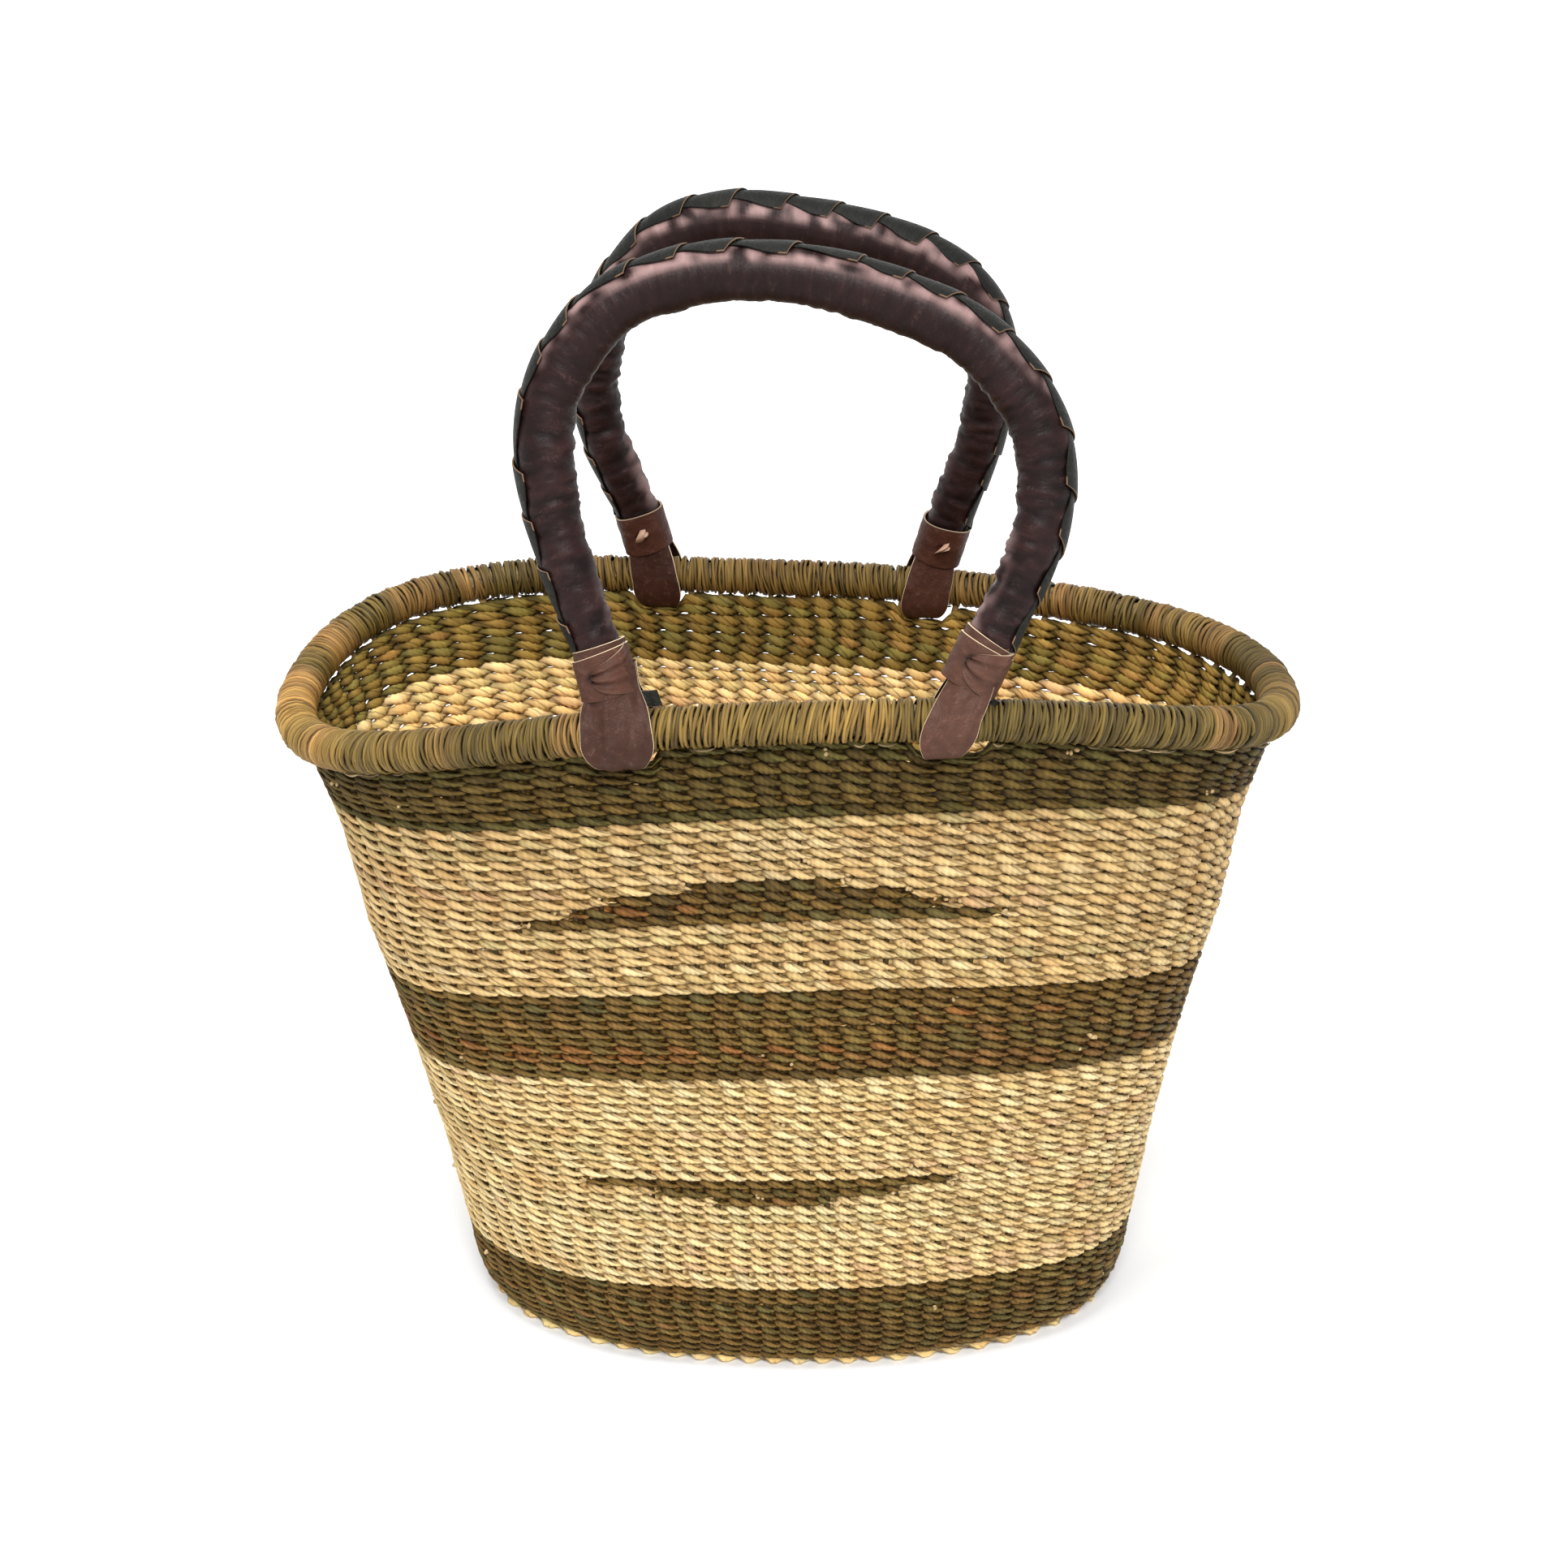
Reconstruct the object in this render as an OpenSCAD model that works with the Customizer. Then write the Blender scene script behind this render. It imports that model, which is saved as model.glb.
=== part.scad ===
// Woven grass market basket with two leather-covered swinging handles.
// X runs along the basket's long side, the front is -Y, and it stands on Z = 0.

/* [Rim] */
// Half length of the rim's centre line, along X
rim_half_length = 230; // [200:1:260]
// Half depth of the rim's centre line, along Y
rim_half_depth = 119; // [100:1:140]
// Mean height of the rim's centre line above the floor
rim_height = 321; // [280:1:360]
// Squareness of the rim seen from above, where 2 is an ellipse
rim_squareness = 2.45; // [2:0.05:3]
// Radius of the bound rim
rim_radius = 9.6; // [7:0.1:12]
// Radius of the bundle of grass inside the binding
rim_core_radius = 6.5; // [4:0.1:6.8]
// How far the rim droops at its two ends
end_droop = 11; // [0:1:20]
// How far the right end hangs lower than the left
side_tilt = 3; // [0:1:6]
// Twist of the rim, front left corner down and back left corner up
rim_twist = 7; // [0:1:10]
// Lift of the back corners over the front ones
corner_lift = 9; // [0:1:12]

/* [Wall] */
// Thickness of the woven wall
wall_thickness = 5; // [4:0.5:6]
// Thickness of the woven base
base_thickness = 5; // [4:0.5:8]
// Width of the single row of grass round the base's edge
edge_row_width = 7; // [5:1:12]
// Open gap between the wall's last row and the rim
rim_gap = 2; // [1:0.5:3]
// Squareness of the base seen from above
base_squareness = 2.2; // [2:0.05:3]
// Number of upright stakes in the wall
stake_count = 78; // [60:2:96]
// Thickness of a stake
stake_thickness = 2.6; // [2:0.1:3]

/* [Colour bands, as fractions of the wall's height] */
// Top of the dark foot band
foot_top = 0.13; // [0.1:0.01:0.18]
// Straight top edge of the lower dark crescent
lower_crescent_at = 0.32; // [0.3:0.01:0.36]
// Height of the lower crescent in its middle
lower_crescent_rise = 0.036; // [0.02:0.001:0.05]
// Bottom of the dark middle band
middle_bottom = 0.49; // [0.45:0.01:0.52]
// Top of the dark middle band
middle_top = 0.63; // [0.6:0.01:0.66]
// Straight bottom edge of the upper dark crescent
upper_crescent_at = 0.74; // [0.7:0.01:0.76]
// Height of the upper crescent in its middle
upper_crescent_rise = 0.046; // [0.02:0.001:0.06]
// Bottom of the dark top band at the front and back
top_band_bottom = 0.895; // [0.86:0.005:0.9]
// How much higher that edge is at the two ends
top_band_end_rise = 0.03; // [0:0.005:0.06]

/* [Handles] */
// Where the front handle's left and right loops hold the rim, along X
front_loops_at = [-63, 78];
// Where the back handle's left and right loops hold the rim, along X
back_loops_at = [-71, 67];
// Lean of both handles inwards over the opening, in degrees
handle_lean = 10; // [0:1:15]
// Radius of a handle at its grip
grip_radius = 12; // [10:0.5:14]
// Radius of a handle at its feet
foot_radius = 10.2; // [9:0.1:10.5]
// Radius of the rope inside a handle
rope_radius = 6.5; // [4:0.5:7]
// Width of the flat lace along a handle's outer edge
lace_width = 5; // [3:0.5:7]
// How far the lace stands above the leather
lace_height = 2; // [1:0.5:3]

/* [Loops and cuffs] */
// Inside radius of a loop, which turns round the rim
loop_bore_radius = 11.6; // [11.4:0.1:12.5]
// Thickness of a loop's strap
strap_thickness = 3; // [2:0.5:4]
// Width of the front left loop
wide_loop_width = 27; // [22:1:30]
// Width of the other three loops
loop_width = 22; // [18:1:26]
// Distance from the hinge line to the end of a handle's sleeve
neck_length = 24; // [20:1:28]
// Distance from the hinge line to a cuff's lower edge
cuff_start = 17; // [16:1:20]
// Length of a cuff
cuff_length = 20; // [14:1:24]
// Outside radius of a cuff
cuff_radius = 12.6; // [11.5:0.1:14]

/* [Hidden] */
$fn = 48;

straw = "burlywood";
dyed = "darkolivegreen";
binding = "olivedrab";
leather = [0.22, 0.15, 0.15];
cuff_leather = [0.42, 0.31, 0.28];

// Outside of the wall: [fraction of the wall's height, half length, half depth]
wall_profile = [[0, 157, 95], [0.03, 163, 100], [0.06, 165.5, 102], [0.3, 177, 107], [0.5, 190, 110.5],
                [0.7, 206, 114], [0.88, 214.5, 116], [1, 226, 117]];
length_profile = [for (p = wall_profile) [p[0], p[1]]];
depth_profile = [for (p = wall_profile) [p[0], p[2]]];

// Centre line of each handle in its own plane, [along the hinge line, height above it],
// between its two hinge points. The first and last points set the lean of the cuffs.
front_route = [[-78, 38], [-88, 70], [-95, 105], [-94, 132], [-84, 156], [-62, 178],
               [-30, 188], [0, 188], [28, 183], [56, 173], [82, 159], [102, 137],
               [112, 110], [109, 78], [92, 42]];
back_route = [[-80, 38], [-95, 74], [-99, 108], [-93, 138], [-80, 161], [-60, 180],
              [-30, 188], [0, 186], [30, 181], [58, 172], [80, 157], [92, 136],
              [94, 108], [91, 80], [79, 40]];

around = 96;            // steps round the wall
rim_steps = 72;         // steps round the rim
rim_sides = 10;         // sides of the rim's section
handle_sides = 10;      // sides of a handle's section
route_steps = 3;        // steps between two points of a handle's route
lace_start = 9;         // first step of the route that carries the lace
crescent_steps = 9;     // wall steps from a crescent's middle to its tip
step_angle = 360 / around;
front_at = 270;
back_at = 90;
swell_height = 120;     // height at which a sleeve reaches its full radius
slot_depth = 5;         // how far the wall is cut down for a loop
slot_reach = 26;        // half width of that cut
stake_reach = 20;       // stakes this near a loop stop short of the rim
short_stake = 0.96;     // where those stop, as a fraction of the wall's height
mean_radius = 150;      // of the plan, for a stake's width as an angle
stake_levels = [0, 0.06, 0.3, 0.5, 0.7, 0.88, 0.96, 1];
cuff_room = 0.4;         // room between a cuff and what it is drawn over

// ---- plan of the wall and rim ----

// Direction round the plan, spaced evenly along a long oval, scaled to the superellipse
function plan_direction(angle, squareness) =
    let (c = cos(angle) * sqrt(rim_half_depth), s = sin(angle) * sqrt(rim_half_length),
         size = pow(pow(abs(c), squareness) + pow(abs(s), squareness), 1 / squareness))
    [c / size, s / size];

function plan_point(angle, half_length, half_depth, squareness) =
    let (d = plan_direction(angle, squareness)) [half_length * d[0], half_depth * d[1]];

// Height of the rim's centre line where the plan direction is d
function rim_z(d) =
    let (c = sign(d[0]) * pow(abs(d[0]), rim_squareness / 2),
         s = sign(d[1]) * pow(abs(d[1]), rim_squareness / 2))
    rim_height - end_droop * (c * c - s * s) - side_tilt * c
    + 2 * s * c * (corner_lift * c - rim_twist);

function rim_point(angle) =
    let (d = plan_direction(angle, rim_squareness))
    [rim_half_length * d[0], rim_half_depth * d[1], rim_z(d)];

// Point of the rim's centre line at x, on the front (side = -1) or the back (side = 1)
function rim_point_at(x, side) =
    let (c = x / rim_half_length,
         s = side * pow(1 - pow(abs(c), rim_squareness), 1 / rim_squareness))
    [x, rim_half_depth * s, rim_z([c, s])];

function wall_top_z(angle) =
    rim_z(plan_direction(angle, rim_squareness)) - rim_radius - rim_gap;

// Point of the wall at a fraction of its height, inset from its outside
function wall_point(angle, height, inset) =
    let (n = base_squareness + (rim_squareness - base_squareness) * height,
         p = plan_point(angle, lookup(height, length_profile) - inset,
                        lookup(height, depth_profile) - inset, n))
    [p[0], p[1], base_thickness + height * (wall_top_z(angle) - base_thickness)];

// ---- edges of the colour bands, as functions of the angle round the plan ----

// 1 at a crescent's middle, falling to 0 at its tips
function crescent_shape(angle, middle) =
    let (s = (angle - middle) / (crescent_steps * step_angle)) abs(s) < 1 ? 1 - s * s : 0;

function crescents(angle) =
    let (a = angle % 360) crescent_shape(a, front_at) + crescent_shape(a, back_at);

// True where a loop passes between the wall and the rim
function near_loop(p, reach) =
    len([for (x = p[1] < 0 ? front_loops_at : back_loops_at) if (abs(p[0] - x) < reach) x]) > 0;

level = function (height) function (angle) height;
lower_crescent_edge = function (angle) lower_crescent_at - lower_crescent_rise * crescents(angle);
upper_crescent_edge = function (angle) upper_crescent_at + upper_crescent_rise * crescents(angle);
top_band_edge = function (angle)
    top_band_bottom + top_band_end_rise * pow(plan_direction(angle, rim_squareness)[0], 2);
wall_edge = function (angle)
    near_loop(wall_point(angle, 1, 0), slot_reach)
        ? 1 - slot_depth / (wall_top_z(angle) - base_thickness) : 1;

// ---- woven pieces ----

// Ring of wall between two edges, with rows steps between them
module wall_ring(low, high, rows = 1) {
    column = rows + 1;
    inner = around * column;
    points = [for (inset = [0, wall_thickness], i = [0:around - 1], j = [0:rows])
        let (angle = i * step_angle, f = j / rows)
        wall_point(angle, low(angle) * (1 - f) + high(angle) * f, inset)];
    function at(i, j) = (i % around) * column + j;
    faces = [for (i = [0:around - 1]) each concat(
        [for (j = [0:rows - 1]) each [
            [at(i, j), at(i, j + 1), at(i + 1, j + 1)],
            [at(i, j), at(i + 1, j + 1), at(i + 1, j)],
            [inner + at(i, j), inner + at(i + 1, j + 1), inner + at(i, j + 1)],
            [inner + at(i, j), inner + at(i + 1, j), inner + at(i + 1, j + 1)]]],
        [[at(i, rows), inner + at(i, rows), inner + at(i + 1, rows)],
         [at(i, rows), inner + at(i + 1, rows), at(i + 1, rows)],
         [at(i, 0), inner + at(i + 1, 0), inner + at(i, 0)],
         [at(i, 0), at(i + 1, 0), inner + at(i + 1, 0)]])];
    polyhedron(points, faces, convexity = 6);
}

// Patch of wall between two edges that meet at its tips
module crescent(low, high, middle) {
    last = 2 * crescent_steps;
    inner = 2 * last;
    function angle_at(i) = middle + (i - crescent_steps) * step_angle;
    points = [for (inset = [0, wall_thickness]) each concat(
        [for (i = [0:last]) wall_point(angle_at(i), low(angle_at(i)), inset)],
        [for (i = [1:last - 1]) wall_point(angle_at(i), high(angle_at(i)), inset)])];
    function top(i) = i == 0 || i == last ? i : last + i;
    faces = [for (i = [0:last - 1]) each [
        [i, top(i), top(i + 1)], [i, top(i + 1), i + 1],
        [inner + i, inner + top(i + 1), inner + top(i)], [inner + i, inner + i + 1, inner + top(i + 1)],
        [top(i), inner + top(i), inner + top(i + 1)], [top(i), inner + top(i + 1), top(i + 1)],
        [i, inner + i + 1, inner + i], [i, i + 1, inner + i + 1]]];
    polyhedron(points, [for (f = faces) if (f[0] != f[1] && f[1] != f[2] && f[2] != f[0]) f]);
}

module base_outline(inset) {
    polygon([for (i = [0:around - 1])
        let (p = wall_point(i * step_angle, 0, inset)) [p[0], p[1]]]);
}

module woven_base() {
    color(straw) linear_extrude(base_thickness) base_outline(edge_row_width);
}

module base_edge_row() {
    color(straw) linear_extrude(base_thickness) difference() {
        base_outline(0);
        base_outline(edge_row_width);
    }
}

module foot_band() { color(dyed) wall_ring(level(0), level(foot_top)); }
module lower_straw_rows() { color(straw) wall_ring(level(foot_top), lower_crescent_edge); }
module lower_crescent_front() {
    color(dyed) crescent(lower_crescent_edge, level(lower_crescent_at), front_at);
}
module lower_crescent_back() {
    color(dyed) crescent(lower_crescent_edge, level(lower_crescent_at), back_at);
}
module mid_straw_rows() { color(straw) wall_ring(level(lower_crescent_at), level(middle_bottom)); }
module middle_band() { color(dyed) wall_ring(level(middle_bottom), level(middle_top)); }
module upper_straw_rows() { color(straw) wall_ring(level(middle_top), level(upper_crescent_at)); }
module upper_crescent_front() {
    color(dyed) crescent(level(upper_crescent_at), upper_crescent_edge, front_at);
}
module upper_crescent_back() {
    color(dyed) crescent(level(upper_crescent_at), upper_crescent_edge, back_at);
}
module high_straw_rows() { color(straw) wall_ring(upper_crescent_edge, top_band_edge); }
module top_band() { color(dyed) wall_ring(top_band_edge, wall_edge); }

// One upright, square in section, from the base to the middle of the rim
module stake(angle) {
    half_turn = stake_thickness / 2 / mean_radius * 180 / PI;
    stops_short = near_loop(wall_point(angle, 1, 0), stake_reach);
    outer = (wall_thickness - stake_thickness) / 2;
    function corner(a, height, inset) =
        height < 1 || stops_short ? wall_point(a, min(height, short_stake), inset)
        : rim_point(a) - [0, 0, rim_core_radius / 2]
          + (wall_point(a, 1, inset) - wall_point(a, 1, wall_thickness / 2));
    points = [for (h = stake_levels) each [
        corner(angle - half_turn, h, outer), corner(angle + half_turn, h, outer),
        corner(angle + half_turn, h, outer + stake_thickness),
        corner(angle - half_turn, h, outer + stake_thickness)]];
    last = len(stake_levels) - 1;
    faces = [for (j = [0:last - 1], k = [0:3]) each
        let (a = 4 * j + k, b = 4 * j + (k + 1) % 4) [[a, a + 4, b + 4], [a, b + 4, b]]];
    polyhedron(points, concat(faces, [[0, 1, 2], [0, 2, 3]],
        [[4 * last, 4 * last + 2, 4 * last + 1], [4 * last, 4 * last + 3, 4 * last + 2]]));
}

module stakes() {
    color(straw) for (i = [0:stake_count - 1]) stake((i + 0.5) * 360 / stake_count);
}

// ---- rim ----

// Rings of points on the rim's skin at a radius, from one rim step to another
function rim_skin(radius, first, last) = [for (i = [first:last])
    let (angle = i * 360 / rim_steps, along = rim_point(angle + 1) - rim_point(angle - 1),
         out = [along[1], -along[0], 0] / norm([along[0], along[1]]))
    for (k = [0:rim_sides - 1])
        rim_point(angle) + radius * (cos(k * 360 / rim_sides) * out
                                     + [0, 0, sin(k * 360 / rim_sides)])];

module rim_core() {
    rings = rim_steps;
    faces = [for (i = [0:rings - 1], k = [0:rim_sides - 1])
        let (i2 = (i + 1) % rings, k2 = (k + 1) % rim_sides,
             a = i * rim_sides + k, b = i2 * rim_sides + k,
             c = i2 * rim_sides + k2, d = i * rim_sides + k2)
        each [[a, d, c], [a, c, b]]];
    color(straw) polyhedron(rim_skin(rim_core_radius, 0, rings - 1), faces, convexity = 6);
}

// Half of the wound binding, a hollow tube round the core
module rim_binding(first, last) {
    color(binding) polyhedron(
        concat(rim_skin(rim_radius, first, last), rim_skin(rim_core_radius, first, last)),
        sleeve_faces(last - first + 1, rim_sides), convexity = 6);
}

module rim_binding_back() { rim_binding(0, rim_steps / 2); }
module rim_binding_front() { rim_binding(rim_steps / 2, rim_steps); }

// ---- handles ----

// Moves its children to a handle's own frame: x along the hinge line, z up the handle
module at_handle(loops_at, side) {
    left = rim_point_at(loops_at[0], side);
    right = rim_point_at(loops_at[1], side);
    along = right - left;
    translate((left + right) / 2)
        rotate([side * handle_lean, -asin(along[2] / norm(along)), atan2(along[1], along[0])])
        children();
}

// Half the distance between a handle's two loops
function half_span(loops_at, side) =
    norm(rim_point_at(loops_at[1], side) - rim_point_at(loops_at[0], side)) / 2;

// Angle that a leg leans sideways from its hinge point to the route's end point
function leg_angle(foot_x, end_point) = atan2(end_point[0] - foot_x, end_point[1]);

function along_leg(foot_x, end_point, distance) =
    let (a = leg_angle(foot_x, end_point)) [foot_x + distance * sin(a), distance * cos(a)];

// Whole centre line, from one sleeve end to the other, straight inside the cuffs
function full_route(route, span) = let (right = route[len(route) - 1]) concat(
    [for (distance = [neck_length, neck_length + 7]) along_leg(-span, route[0], distance)], route,
    [for (distance = [neck_length + 7, neck_length]) along_leg(span, right, distance)]);

// Smooth curve through every point
function smooth(p) = let (last = len(p) - 1) concat(
    [for (i = [0:last - 1], j = [0:route_steps - 1])
        let (t = j / route_steps, a = p[max(i - 1, 0)], b = p[i], c = p[i + 1],
             d = p[min(i + 2, last)])
        b + 0.5 * t * (c - a + t * (2 * a - 5 * b + 4 * c - d + t * (3 * (b - c) + d - a)))],
    [p[last]]);

// Unit vector square to the curve in its plane, pointing away from the opening
function outward(curve, i) =
    let (last = len(curve) - 1, along = curve[min(i + 1, last)] - curve[max(i - 1, 0)])
    [-along[1], along[0]] / norm(along);

// Radius of the sleeve where the handle's height is z
function sleeve_radius(z) =
    let (cuff_top = cuff_start + cuff_length, f = (z - cuff_top) / (swell_height - cuff_top))
    foot_radius + (grip_radius - foot_radius) * max(min(f, 1), 0);

function handle_skin(curve, radius) = [for (i = [0:len(curve) - 1])
    let (out = outward(curve, i), r = radius(curve[i][1])) for (k = [0:handle_sides - 1])
        let (a = k * 360 / handle_sides)
        [curve[i][0] + r * cos(a) * out[0], r * sin(a), curve[i][1] + r * cos(a) * out[1]]];

// Faces of a tube of rings, from point number start
function tube_faces(rings, sides, start, outward) =
    [for (i = [0:rings - 2], k = [0:sides - 1])
    let (k2 = (k + 1) % sides, a = start + i * sides + k, b = a + sides,
         d = start + i * sides + k2, c = d + sides)
    each outward ? [[a, c, b], [a, d, c]] : [[a, b, c], [a, c, d]]];

// Faces of a hollow tube, whose outer rings come before its inner rings
function sleeve_faces(rings, sides) =
    let (inner = rings * sides, end = inner - sides)
    concat(tube_faces(rings, sides, 0, true), tube_faces(rings, sides, inner, false),
           [for (k = [0:sides - 1]) let (k2 = (k + 1) % sides) each [
               [k, inner + k2, k2], [k, inner + k, inner + k2],
               [end + k, end + k2, end + inner + k2],
               [end + k, end + inner + k2, end + inner + k]]]);

module rope(route, span) {
    curve = smooth(full_route(route, span));
    rings = len(curve);
    end = (rings - 1) * handle_sides;
    polyhedron(handle_skin(curve, function (z) rope_radius), concat(
        tube_faces(rings, handle_sides, 0, true),
        [for (k = [1:handle_sides - 2]) each [[0, k + 1, k], [end, end + k, end + k + 1]]]),
        convexity = 6);
}

module sleeve(route, span) {
    curve = smooth(full_route(route, span));
    polyhedron(
        concat(handle_skin(curve, function (z) sleeve_radius(z)),
               handle_skin(curve, function (z) rope_radius)),
        sleeve_faces(len(curve), handle_sides), convexity = 6);
}

// Flat lace sunk a little into the sleeve's outer edge
module lacing(route, span) {
    whole = smooth(full_route(route, span));
    curve = [for (i = [lace_start:len(whole) - 1 - lace_start]) whole[i]];
    rings = len(curve);
    end = (rings - 1) * 4;
    points = [for (i = [0:rings - 1])
        let (out = outward(curve, i), r = sleeve_radius(curve[i][1]))
        for (c = [[r - 2, 1], [r + lace_height, 1], [r + lace_height, -1], [r - 2, -1]])
            [curve[i][0] + c[0] * out[0], c[1] * lace_width / 2, curve[i][1] + c[0] * out[1]]];
    polyhedron(points, concat(tube_faces(rings, 4, 0, false),
        [[0, 1, 2], [0, 2, 3], [end, end + 2, end + 1], [end, end + 3, end + 2]]),
        convexity = 6);
}

// Moves its children to a leg: the hinge point, leaning along the leg
module at_leg(foot_x, end_point) {
    translate([foot_x, 0, 0]) rotate([0, leg_angle(foot_x, end_point), 0]) children();
}

// Strap round the rim, its two ends brought together in a round neck under the sleeve
module loop(foot_x, end_point, width) {
    outer = loop_bore_radius + strap_thickness;
    shoulder = cuff_start - 4;
    difference() {
        union() {
            translate([foot_x, 0, 0]) rotate([0, 90, 0]) cylinder(r = outer, h = width, center = true);
            translate([foot_x - width / 2, 0, 0]) rotate([90, 0, 90]) linear_extrude(width)
                polygon([[-outer, 0], [outer, 0], [foot_radius, shoulder], [-foot_radius, shoulder]]);
            at_leg(foot_x, end_point) cylinder(r = foot_radius, h = neck_length);
        }
        translate([foot_x, 0, 0]) rotate([0, 90, 0])
            cylinder(r = loop_bore_radius, h = 3 * width, center = true);
    }
}

module cuff(foot_x, end_point) {
    at_leg(foot_x, end_point) translate([0, 0, cuff_start]) difference() {
        cylinder(r = cuff_radius, h = cuff_length);
        translate([0, 0, -1]) cylinder(r = foot_radius + cuff_room, h = cuff_length + 2);
    }
}

// End of the cuff's strap, pulled out through its slit on the front
module strap_tail(foot_x, end_point, tail_size) {
    at_leg(foot_x, end_point)
        translate([-tail_size[0] / 2, -cuff_radius - tail_size[1] + 1, cuff_start + 5])
        cube(tail_size);
}

// Two short ends of the lace, which stick out just above the cuffs
module lace_ends(route, span) {
    size = [7, 3, 6];
    for (side = [-1, 1])
        at_leg(side * span, side < 0 ? route[0] : route[len(route) - 1])
            translate([side * (foot_radius + size[0] / 2 - 1) - size[0] / 2, -size[1] / 2,
                       cuff_start + cuff_length + 0.5])
            cube(size);
}

front_span = half_span(front_loops_at, -1);
back_span = half_span(back_loops_at, 1);
front_left_end = front_route[0];
front_right_end = front_route[len(front_route) - 1];
back_left_end = back_route[0];
back_right_end = back_route[len(back_route) - 1];
front_tail_size = [13, 3, 7];
back_tail_size = [8, 3, 9];

module front_rope() { color(straw) at_handle(front_loops_at, -1) rope(front_route, front_span); }
module front_sleeve() { color(leather) at_handle(front_loops_at, -1) sleeve(front_route, front_span); }
module front_lacing() { color("black") at_handle(front_loops_at, -1) lacing(front_route, front_span); }
module front_left_loop() {
    color(cuff_leather) at_handle(front_loops_at, -1) loop(-front_span, front_left_end, wide_loop_width);
}
module front_right_loop() {
    color(cuff_leather) at_handle(front_loops_at, -1) loop(front_span, front_right_end, loop_width);
}
module front_left_cuff() {
    color(cuff_leather) at_handle(front_loops_at, -1) cuff(-front_span, front_left_end);
}
module front_right_cuff() {
    color(cuff_leather) at_handle(front_loops_at, -1) cuff(front_span, front_right_end);
}
module front_left_strap_tail() {
    color("tan") at_handle(front_loops_at, -1) strap_tail(-front_span, front_left_end, front_tail_size);
}
module front_right_strap_tail() {
    color("tan") at_handle(front_loops_at, -1) strap_tail(front_span, front_right_end, front_tail_size);
}
module front_lace_ends() { color("black") at_handle(front_loops_at, -1) lace_ends(front_route, front_span); }

module back_rope() { color(straw) at_handle(back_loops_at, 1) rope(back_route, back_span); }
module back_sleeve() { color(leather) at_handle(back_loops_at, 1) sleeve(back_route, back_span); }
module back_lacing() { color("black") at_handle(back_loops_at, 1) lacing(back_route, back_span); }
module back_left_loop() {
    color(cuff_leather) at_handle(back_loops_at, 1) loop(-back_span, back_left_end, loop_width);
}
module back_right_loop() {
    color(cuff_leather) at_handle(back_loops_at, 1) loop(back_span, back_right_end, loop_width);
}
module back_left_cuff() {
    color(cuff_leather) at_handle(back_loops_at, 1) cuff(-back_span, back_left_end);
}
module back_right_cuff() {
    color(cuff_leather) at_handle(back_loops_at, 1) cuff(back_span, back_right_end);
}
module back_left_strap_tail() {
    color("tan") at_handle(back_loops_at, 1) strap_tail(-back_span, back_left_end, back_tail_size);
}
module back_right_strap_tail() {
    color("tan") at_handle(back_loops_at, 1) strap_tail(back_span, back_right_end, back_tail_size);
}
module back_lace_ends() { color("black") at_handle(back_loops_at, 1) lace_ends(back_route, back_span); }

woven_base();
base_edge_row();
foot_band();
lower_straw_rows();
lower_crescent_front();
lower_crescent_back();
mid_straw_rows();
middle_band();
upper_straw_rows();
upper_crescent_front();
upper_crescent_back();
high_straw_rows();
top_band();
stakes();
rim_core();
rim_binding_front();
rim_binding_back();
front_rope();
front_sleeve();
front_lacing();
front_left_loop();
front_right_loop();
front_left_cuff();
front_right_cuff();
front_left_strap_tail();
front_right_strap_tail();
front_lace_ends();
back_rope();
back_sleeve();
back_lacing();
back_left_loop();
back_right_loop();
back_left_cuff();
back_right_cuff();
back_left_strap_tail();
back_right_strap_tail();
back_lace_ends();
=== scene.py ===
import math

import bpy
import numpy as np
from mathutils import Matrix, Vector, noise


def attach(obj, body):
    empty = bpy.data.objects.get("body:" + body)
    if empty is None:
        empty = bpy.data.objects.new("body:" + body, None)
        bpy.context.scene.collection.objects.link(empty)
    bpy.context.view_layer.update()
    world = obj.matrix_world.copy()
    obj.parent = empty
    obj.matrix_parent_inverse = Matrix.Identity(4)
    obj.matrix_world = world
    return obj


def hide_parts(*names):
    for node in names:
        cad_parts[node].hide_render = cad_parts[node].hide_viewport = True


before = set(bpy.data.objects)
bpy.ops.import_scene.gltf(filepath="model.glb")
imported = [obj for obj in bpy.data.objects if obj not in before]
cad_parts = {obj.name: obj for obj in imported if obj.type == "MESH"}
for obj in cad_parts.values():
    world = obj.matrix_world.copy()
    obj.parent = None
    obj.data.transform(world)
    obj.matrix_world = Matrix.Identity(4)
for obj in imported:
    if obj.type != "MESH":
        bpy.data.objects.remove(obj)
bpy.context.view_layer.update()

# The basket is in millimetres until a mesh is made, and angles round it are in radians. The camera,
# the lights, the floor and the materials are in metres and degrees.
MM = 0.001
TURN = 2 * math.pi
SMALL_ANGLE = 1e-3   # for the direction of a curve
chance = np.random.default_rng(11)

# ---- camera ----

CAMERA_TARGET = Vector((-0.0013, 0.0, 0.2618))
CAMERA_DISTANCE = 1.149
CAMERA_AZIMUTH = 3.77
CAMERA_ELEVATION = 19.8
CAMERA_ROLL = -1.51
CAMERA_LENS = 55.0


def direction(azimuth, elevation):
    """Direction of a place, by its angles in degrees round from the front and up."""
    a, e = math.radians(azimuth), math.radians(elevation)
    return Vector((math.sin(a) * math.cos(e), -math.cos(a) * math.cos(e), math.sin(e)))


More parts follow.
